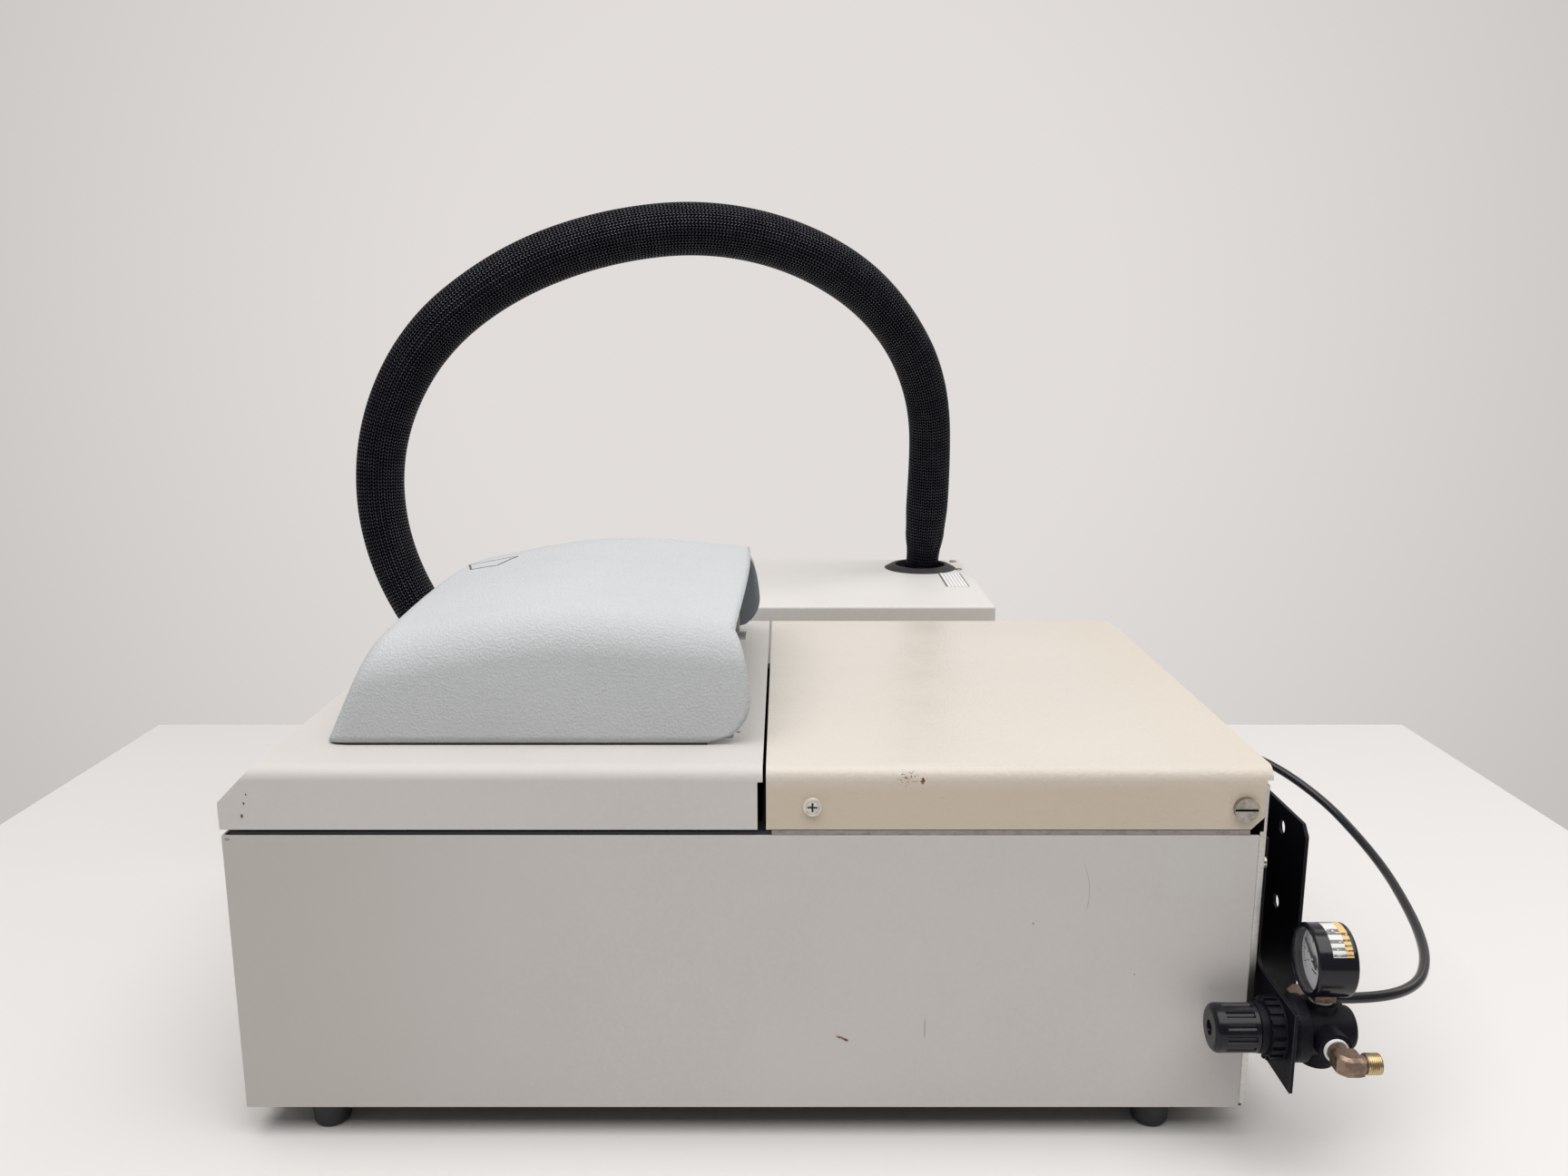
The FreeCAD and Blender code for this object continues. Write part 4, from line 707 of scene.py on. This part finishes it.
def hood():
    """Thin moulding: two walls, a crowned roof and a sloped nose, open below and behind."""
    shell_low, shell_high = low("hood_shell"), high("hood_shell")
    near, far, front, rear, base = shell_low.y, shell_high.y, shell_low.x, shell_high.x, shell_low.z
    pivot_x = rear - HOOD_CORNER
    pivot_z = base + HOOD_CORNER
    columns, wall_rows, roof_rows = 72, 26, 64
    wall_steps = np.linspace(0, 1, wall_rows + 1) ** 0.9
    roof_steps = np.linspace(-1, 1, roof_rows + 1)
    crowded = np.sign(roof_steps) * (1 - (1 - np.abs(roof_steps)) ** 1.5)
    roof_steps = crowded * 0.35 + roof_steps * 0.65
    top = HOOD_GRID_TOP

    def ring_point(j):
        if j <= wall_rows:
            return near, base + (top - base) * wall_steps[j]
        if j >= wall_rows + roof_rows:
            return far, base + (top - base) * wall_steps[2 * wall_rows + roof_rows - j]
        return (near + far) / 2 + roof_steps[j - wall_rows] * (far - near) / 2, top

    rows = 2 * wall_rows + roof_rows + 1
    points, index = [], {}
    for j in range(rows):
        y, z = ring_point(j)
        x_start = front + (z - base) * HOOD_SLOPE_RUN / HOOD_SLOPE_RISE
        across = (y - (near + far) / 2) / ((far - near) / 2)
        rise = max(0.0, (z - pivot_z) / (top - pivot_z))
        x_end = rear - HOOD_REAR_LEAN * rise ** 1.4 + HOOD_REAR_BOW * (1 - across ** 2)
        if z < pivot_z:
            x_end = pivot_x + math.sqrt(max(0.0, HOOD_CORNER ** 2 - (z - pivot_z) ** 2))
        for i in range(columns + 1):
            share = (i / columns) ** 1.25
            index["side", i, j] = len(points)
            points.append((x_start + (x_end - x_start) * share, y, z))
    for r in range(wall_rows + 1):
        for c in range(1, roof_rows):
            if r == wall_rows:
                index["front", r, c] = index["side", 0, wall_rows + c]
                continue
            y = ring_point(wall_rows + c)[0]
            z = base + (top - base) * wall_steps[r]
            index["front", r, c] = len(points)
            points.append((front + (z - base) * HOOD_SLOPE_RUN / HOOD_SLOPE_RISE, y, z))
        index["front", r, 0] = index["side", 0, r]
        index["front", r, roof_rows] = index["side", 0, rows - 1 - r]
    p = np.array(points, float)
    on_base = p[:, 2] <= base + 1e-6
    at_rear = np.zeros(len(p), bool)
    for j in range(rows):
        at_rear[index["side", columns, j]] = True
    # pull every point onto the shape's surface, along the slope of its distance
    step, pull, passes, least_slope = 0.05, 0.8, 40, 0.25
    for _ in range(passes):
        d = hood_distance(p, near, far, front, base)
        grad = np.stack([(hood_distance(p + step * axis, near, far, front, base) - d) / step
                         for axis in np.eye(3)], axis=-1)
        grad[on_base, 2] = 0
        grad[at_rear, 0] = 0
        grad /= np.maximum((grad ** 2).sum(axis=1, keepdims=True), least_slope)
        p -= pull * d[:, None] * grad
    faces = []
    for j in range(rows - 1):
        for i in range(columns):
            faces.append((index["side", i, j], index["side", i + 1, j],
                          index["side", i + 1, j + 1], index["side", i, j + 1]))
    for r in range(wall_rows):
        for c in range(roof_rows):
            faces.append((index["front", r, c], index["front", r + 1, c],
                          index["front", r + 1, c + 1], index["front", r, c + 1]))
    made = piece("hood_moulding", [at(*q) for q in p], faces, hood_plastic(), "hood")
    bm = bmesh.new()
    bm.from_mesh(made.data)
    bmesh.ops.recalc_face_normals(bm, faces=bm.faces)
    roof = max(bm.faces, key=lambda f: f.calc_center_median().z)
    if roof.normal.z < 0:
        bmesh.ops.reverse_faces(bm, faces=bm.faces)
    bm.to_mesh(made.data)
    bm.free()
    # the inner faces take the painted-shade colour
    made.data.materials.append(hood_inside_painted_shade())
    made.data.materials.append(hood_plastic())
    wall = made.modifiers.new("wall", "SOLIDIFY")
    wall.thickness = HOOD_WALL * MM
    wall.offset = -1
    wall.use_even_offset = True
    wall.material_offset = 1
    wall.material_offset_rim = 2
    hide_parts("hood_shell")


def hood_bosses():
    """The hinge bosses inside the hood's two walls, each turned round the hinge rod."""
    rod_low, rod_high = low("hood_hinge_rod"), high("hood_hinge_rod")
    x = (rod_low.x + rod_high.x) / 2
    z = (rod_low.z + rod_high.z) / 2
    outward, inward = 3.6, 5.5
    near_boss = (rod_low.y - outward, rod_low.y + inward)
    far_boss = (rod_high.y - inward, rod_high.y + outward)
    for start, end in (near_boss, far_boss):
        length = end - start
        profile = ((0, 10), (length - 0.8, 10), (length, 9.2))
        # the bosses take the hood's painted-shade inner colour
        lathe("hood_boss", (x, start, z), "Y", profile, hood_inside_painted_shade(), "hood", hole=4.1)


def hood_badge():
    """Blank outline of a badge moulded on the hood's top."""
    shell_low, shell_high = low("hood_shell"), high("hood_shell")
    corners = ((80, 232), (116, 222), (109, 190), (90, 196))
    points, faces = [], []
    width = 0.7
    for (x0, y0), (x1, y1) in zip(corners, corners[1:] + corners[:1]):
        along = Vector((x1 - x0, y1 - y0, 0)).normalized()
        side = Vector((-along.y, along.x, 0)) * width
        steps = 14
        for step in range(steps + 1):
            middle = Vector((x0, y0, 0)).lerp(Vector((x1, y1, 0)), step / steps)
            for edge in (middle - side, middle + side):
                z = hood_roof(edge.x, edge.y, shell_low.y, shell_high.y) + 0.22
                points.append(at(edge.x, edge.y, float(z)))
            if step:
                n = len(points)
                faces.append((n - 4, n - 3, n - 1, n - 2))
    grey = plastic("badge_grey", (0.07, 0.085, 0.095), 0.45)
    piece("hood_badge_outline", points, faces, grey, "hood")


def box_mesh(start, end):
    (x0, y0, z0), (x1, y1, z1) = start, end
    points = [at(x, y, z) for z in (z0, z1) for (x, y) in ((x0, y0), (x1, y0), (x1, y1), (x0, y1))]
    return points, [(3, 2, 1, 0), (4, 5, 6, 7), (0, 1, 5, 4), (1, 2, 6, 5), (2, 3, 7, 6), (3, 0, 4, 7)]


def block(name, start, end, material):
    piece(name, *box_mesh(start, end), material, "root", smooth=False)


def lathe(name, start, axis, profile, material, body, hole=0.0, around=40):
    """Turned piece: profile is (distance along the axis, radius) from its start to its end."""
    line = [(profile[0][0], hole)] + list(profile) + [(profile[-1][0], hole)]
    turn = {"X": ((1, 0, 0), (0, 1, 0), (0, 0, 1)), "Y": ((0, 1, 0), (0, 0, 1), (1, 0, 0)),
            "Z": ((0, 0, 1), (1, 0, 0), (0, 1, 0))}[axis]
    forward, a, b = (Vector(v) for v in turn)
    points = []
    for length, radius in line:
        for step in range(around):
            angle = math.tau * step / around
            offset = forward * length + a * (radius * math.cos(angle)) + b * (radius * math.sin(angle))
            points.append(at(*(Vector(start) + offset)))
    faces = []
    for ring in range(len(line) - 1):
        for step in range(around):
            after = (step + 1) % around
            faces.append((ring * around + step, ring * around + after,
                          (ring + 1) * around + after, (ring + 1) * around + step))
    made = piece(name, points, faces, material, body)
    soften(made, 0.12, segments=1, weld=True, angle=40)


def curved_label(name, span_x, angles, radius, centre, material):
    """Label stuck round a cylinder that lies along x; angles run up from the near side."""
    points, faces = [], []
    steps = 24
    for step in range(steps + 1):
        angle = math.radians(angles[0] + (angles[1] - angles[0]) * step / steps)
        y = centre[0] - radius * math.cos(angle)
        z = centre[1] + radius * math.sin(angle)
        points += [at(span_x[0], y, z), at(span_x[1], y, z)]
        if step:
            faces.append((2 * step - 2, 2 * step - 1, 2 * step + 1, 2 * step))
    piece(name, points, faces, material, "root")


def gauge_label():
    case_low, case_high = low("gauge_case"), high("gauge_case")
    centre = ((case_low.y + case_high.y) / 2, (case_low.z + case_high.z) / 2)
    radius = (case_high.z - case_low.z) / 2 + 0.07
    length = case_high.x - case_low.x
    white = printed("gauge_label_print", (0.74, 0.74, 0.72), (0.16, 0.16, 0.17), "Z", 2.6, 0.42)
    yellow = printed("gauge_label_stripe", (0.76, 0.52, 0.20), (0.10, 0.07, 0.04), "Z", 1.8, 0.35)
    split = case_low.x + length * 0.68
    curved_label("gauge_label_white", (case_low.x + length * 0.35, split), (30, 112), radius, centre,
                 white)
    curved_label("gauge_label_yellow", (split, case_low.x + length * 0.86), (30, 112), radius, centre,
                 yellow)


def inlet_thread():
    """Ridges of the thread on the inlet elbow's end."""
    node_low, node_high = low("inlet_elbow"), high("inlet_elbow")
    to_axis = 5.4
    length, turns, pitch = 7.2, 7, 1.0
    root, crest, runout = 5.0, 5.45, 4.9
    bright = metal("thread_brass", (0.62, 0.47, 0.24), 0.3, (1, 1, 1), 0.6, (0.33, 0.22, 0.12), 0.5)
    start = (node_high.x - length, node_low.y + to_axis, node_low.z + to_axis)
    profile = []
    for turn in range(turns):
        profile += [(turn * pitch, root), (turn * pitch + pitch / 2, crest)]
    profile.append((turns * pitch, runout))
    lathe("inlet_thread_ridges", start, "X", profile, bright, "root", hole=2.6, around=48)


def rear_ledge():
    """Light edge of the inner frame that shows under the rear cover."""
    flange_end = low("rear_top_cover").x + 3
    panel_top = high("side_panel_near").z
    end = high("side_panel_near").x - 5
    steel = metal("ledge_steel", (0.40, 0.365, 0.355), 0.5, (0.2, 1, 1), 0.8)
    depth = high("side_panel_far").y
    for name, (y0, y1) in (("near", (0.75, 1.5)), ("far", (depth - 1.5, depth - 0.75))):
        block("rear_ledge_" + name, (flange_end, y0, panel_top + 0.05), (end, y1, panel_top + 2.7), steel)


def cooler_plate():
    """Rating plate and two small plugs on the cooler's top, beside the hose's ring."""
    top = high("cooler_cover").z
    left, right, near, far = 441.6, 459.8, 457, 519
    line_pitch = 3.1
    look = Look("plate_print", rough=0.45)
    rows = look.math("FRACT", look.math("MULTIPLY", look.offset(left, 0, 0)[0], 1 / line_pitch))
    lines = look.span(rows, 0.17, 0.25, 1.0, 0.0)
    stock = look.mix(look.noise(9, 2), (0.88, 0.88, 0.88), (0.83, 0.83, 0.84))
    look.put("Base Color", look.mix(lines, stock, (0.33, 0.33, 0.35)))
    block("rating_plate", (left, near, top + 0.02), (right, far, top + 0.35), look.material)
    ink = plastic("plate_edge", (0.10, 0.10, 0.105), 0.5)
    for name, x in (("left", left - 1.0), ("right", right)):
        start, end = (x, near, top + 0.02), (x + 1.0, far, top + 0.4)
        block("rating_plate_edge_" + name, start, end, ink)
    plug = metal("plug_metal", (0.42, 0.38, 0.32), 0.35, (1, 1, 1), 0.6)
    profile = ((0, 3.4), (0.9, 3.2), (1.3, 2.4))
    for name, y in (("near", 537), ("far", 578)):
        lathe("cooler_plug_" + name, (462, y, top + 0.02), "Z", profile, plug, "root")


def range_spring():
    """Coil spring in the regulator, wound once at the length of the CAD spring."""
    spring_low, spring_high = low("regulator_spring"), high("regulator_spring")
    wire, turns, per_turn, around = 1.45, 4.6, 40, 12
    coil = (spring_high.z - spring_low.z) / 2 - wire
    y, z = (spring_low.y + spring_high.y) / 2, (spring_low.z + spring_high.z) / 2
    steps = int(turns * per_turn)
    points, faces = [], []
    for step in range(steps + 1):
        angle = math.tau * turns * step / steps
        x = spring_low.x + wire + (spring_high.x - spring_low.x - 2 * wire) * step / steps
        out = Vector((0, math.cos(angle), math.sin(angle)))
        for k in range(around):
            turn = math.tau * k / around
            offset = out * (coil + wire * math.cos(turn)) + Vector((wire * math.sin(turn), 0, 0))
            points.append(at(x + offset.x, y + offset.y, z + offset.z))
            if step:
                here, ahead = step * around + k, step * around + (k + 1) % around
                faces.append((here - around, ahead - around, ahead, here))
    faces.append(tuple(range(around)))
    faces.append(tuple(reversed(range(len(points) - around, len(points)))))
    made = piece("range_spring_coil", points, faces, metal("spring_wire", (0.62, 0.61, 0.585), 0.3), "root")
    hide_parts("regulator_spring")
    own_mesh(made)


def make_table():
    """Pale table top under the instrument."""
    points, faces = box_mesh((-416, -1500, -28), (1004, 752, 0))
    made = piece("table", points, faces, table_look(), None)
    soften(made, 2.0)


# ---- CAD nodes -----------------------------------------------------------------------
def dress_nodes():
    case, deck, cover, cooler = case_paint(), deck_paint(), cover_paint(), cooler_paint()
    black_sheet = plastic("inner_black", (0.02, 0.02, 0.021), 0.5)
    zinc = metal("zinc_sheet", (0.62, 0.61, 0.585), 0.36, (0.2, 1, 1), 0.8, (0.56, 0.55, 0.52), 0.3)
    screw_paint = screw_head("screw_cream", "cover_screws", (313.0, 194.6), 2.7, (0.72, 0.69, 0.63), 0.0)
    nickel = screw_head("nickel_slotted", "cover_thumb_screws", (541.2, 193.5), 6.0, (0.40, 0.375, 0.33),
                        1.0, slot_half=0.9)
    screw_steel = metal("screw_steel", (0.60, 0.59, 0.56), 0.24, (1, 1, 1), 0.5, (0.25, 0.23, 0.2), 0.5)
    rubber_black = rubber()
    bracket = plastic("bracket_black", (0.006, 0.006, 0.010), 0.5, 0.7, 0.03, 0.14)
    worn_edge = plastic("worn_edge", (0.02, 0.02, 0.026), 0.45, 0.7, 0.03, 0.3)
    mould = plastic("regulator_black", (0.006, 0.006, 0.010), 0.5, 0.8, 0.05, 0.14)
    knob = plastic("knob_black", (0.006, 0.006, 0.010), 0.2, 1.2, 0.015, 0.3)
    enamel = plastic("gauge_enamel", (0.007, 0.007, 0.012), 0.16, 2.0, 0.01, 0.38)
    brass = metal("aged_brass", (0.285, 0.205, 0.155), 0.40, (1, 1, 1), 2.4, (0.215, 0.155, 0.125), 0.7)
    tape = plastic("sealing_tape", (0.80, 0.81, 0.82), 0.5, 0.8, 0.1)
    silver = metal("cell_silver", (0.80, 0.79, 0.77), 0.27, (1, 1, 0.1), 0.5, (0.70, 0.67, 0.61), 0.3)
    ceramic = plastic("ceramic_wool", (0.76, 0.74, 0.69), 0.85, 1.2, 0.3)
    copper = metal("copper", (0.72, 0.36, 0.22), 0.34, (1, 1, 1), 0.8, (0.30, 0.13, 0.08), 0.5)
    moulded = plastic("black_moulding", (0.022, 0.022, 0.024), 0.42)
    fins = metal("fins", (0.70, 0.71, 0.72), 0.4, (1, 1, 12), 4.0)
    wire = metal("plated_wire", (0.72, 0.72, 0.73), 0.16)
    looks = {
        case: (("side_panel_near", 0.35), ("side_panel_far", 0.35), ("front_panel", 0.3)),
        deck: (("deck_cover", 0.35),),
        cover: (("rear_top_cover", 0.35),),
        cooler: (("cooler_cover", 0.0),),
        black_sheet: (("chassis_base", 0.2), ("inner_bulkhead", 0.2), ("cooler_base", 0.2),
                      ("cooler_compressor", 0.0)),
        zinc: (("rear_panel", 0.25), ("hood_hinge_brackets", 0.2), ("hood_hinge_rod", 0.3),
               ("bracket_bolts", 0.25), ("power_supply", 0.3), ("spring_seat", 0.2)),
        screw_paint: (("cover_screws", 0.5),),
        nickel: (("cover_thumb_screws", 0.7),),
        screw_steel: (("rear_panel_screws", 0.3),),
        rubber_black: (("rubber_feet", 0.0), ("cooler_feet", 0.0), ("hood_gasket", 0.3),
                       ("hose_ring", 0.6), ("hose_elbow", 0.6)),
        mould: (("regulator_body", 0.6), ("regulator_bonnet", 0.4), ("panel_nut", 0.35)),
        knob: (("adjusting_knob", 0.5),),
        enamel: (("gauge_case", 0.0),),
        dial(): (("gauge_dial", 0.1),),
        plastic("needle_black", (0.01, 0.01, 0.01), 0.4): (("gauge_needle", 0.0),),
        glass(): (("gauge_lens", 0.2),),
        brass: (("gauge_stem", 0.3), ("inlet_elbow", 0.9), ("outlet_elbow", 0.8), ("tube_fitting", 0.4)),
        tape: (("thread_tape", 0.2),),
        silver: (("cell_flange", 0.5), ("furnace_block", 0.4), ("sample_pans", 0.15), ("cell_cover", 0.5)),
        ceramic: (("cell_insulation", 0.8),),
        copper: (("heat_exchanger", 0.5),),
        board(): (("circuit_board", 0.2),),
        moulded: (("fan_frame", 0.4), ("fan_rotor", 0.2), ("mains_inlet", 0.4),
                  ("power_switch_frame", 0.3), ("power_switch", 0.4), ("cooler_fan_frame", 0.4),
                  ("cooler_fan_rotor", 0.2), ("cooler_switch_frame", 0.3), ("cooler_switch", 0.4)),
        fins: (("cooler_condenser", 0.0),),
        wire: (("fan_guard", 0.0),),
    }
    for material, nodes in looks.items():
        for node, width in nodes:
            dress(node, material, width)
    dress("regulator_bracket", bracket, 0.3, worn_edge)


make_camera()
cooling_hose()
air_tube()
make_table()
make_lights()
hood()
hood_bosses()
hood_badge()
gauge_label()
inlet_thread()
rear_ledge()
cooler_plate()
range_spring()
dress_nodes()
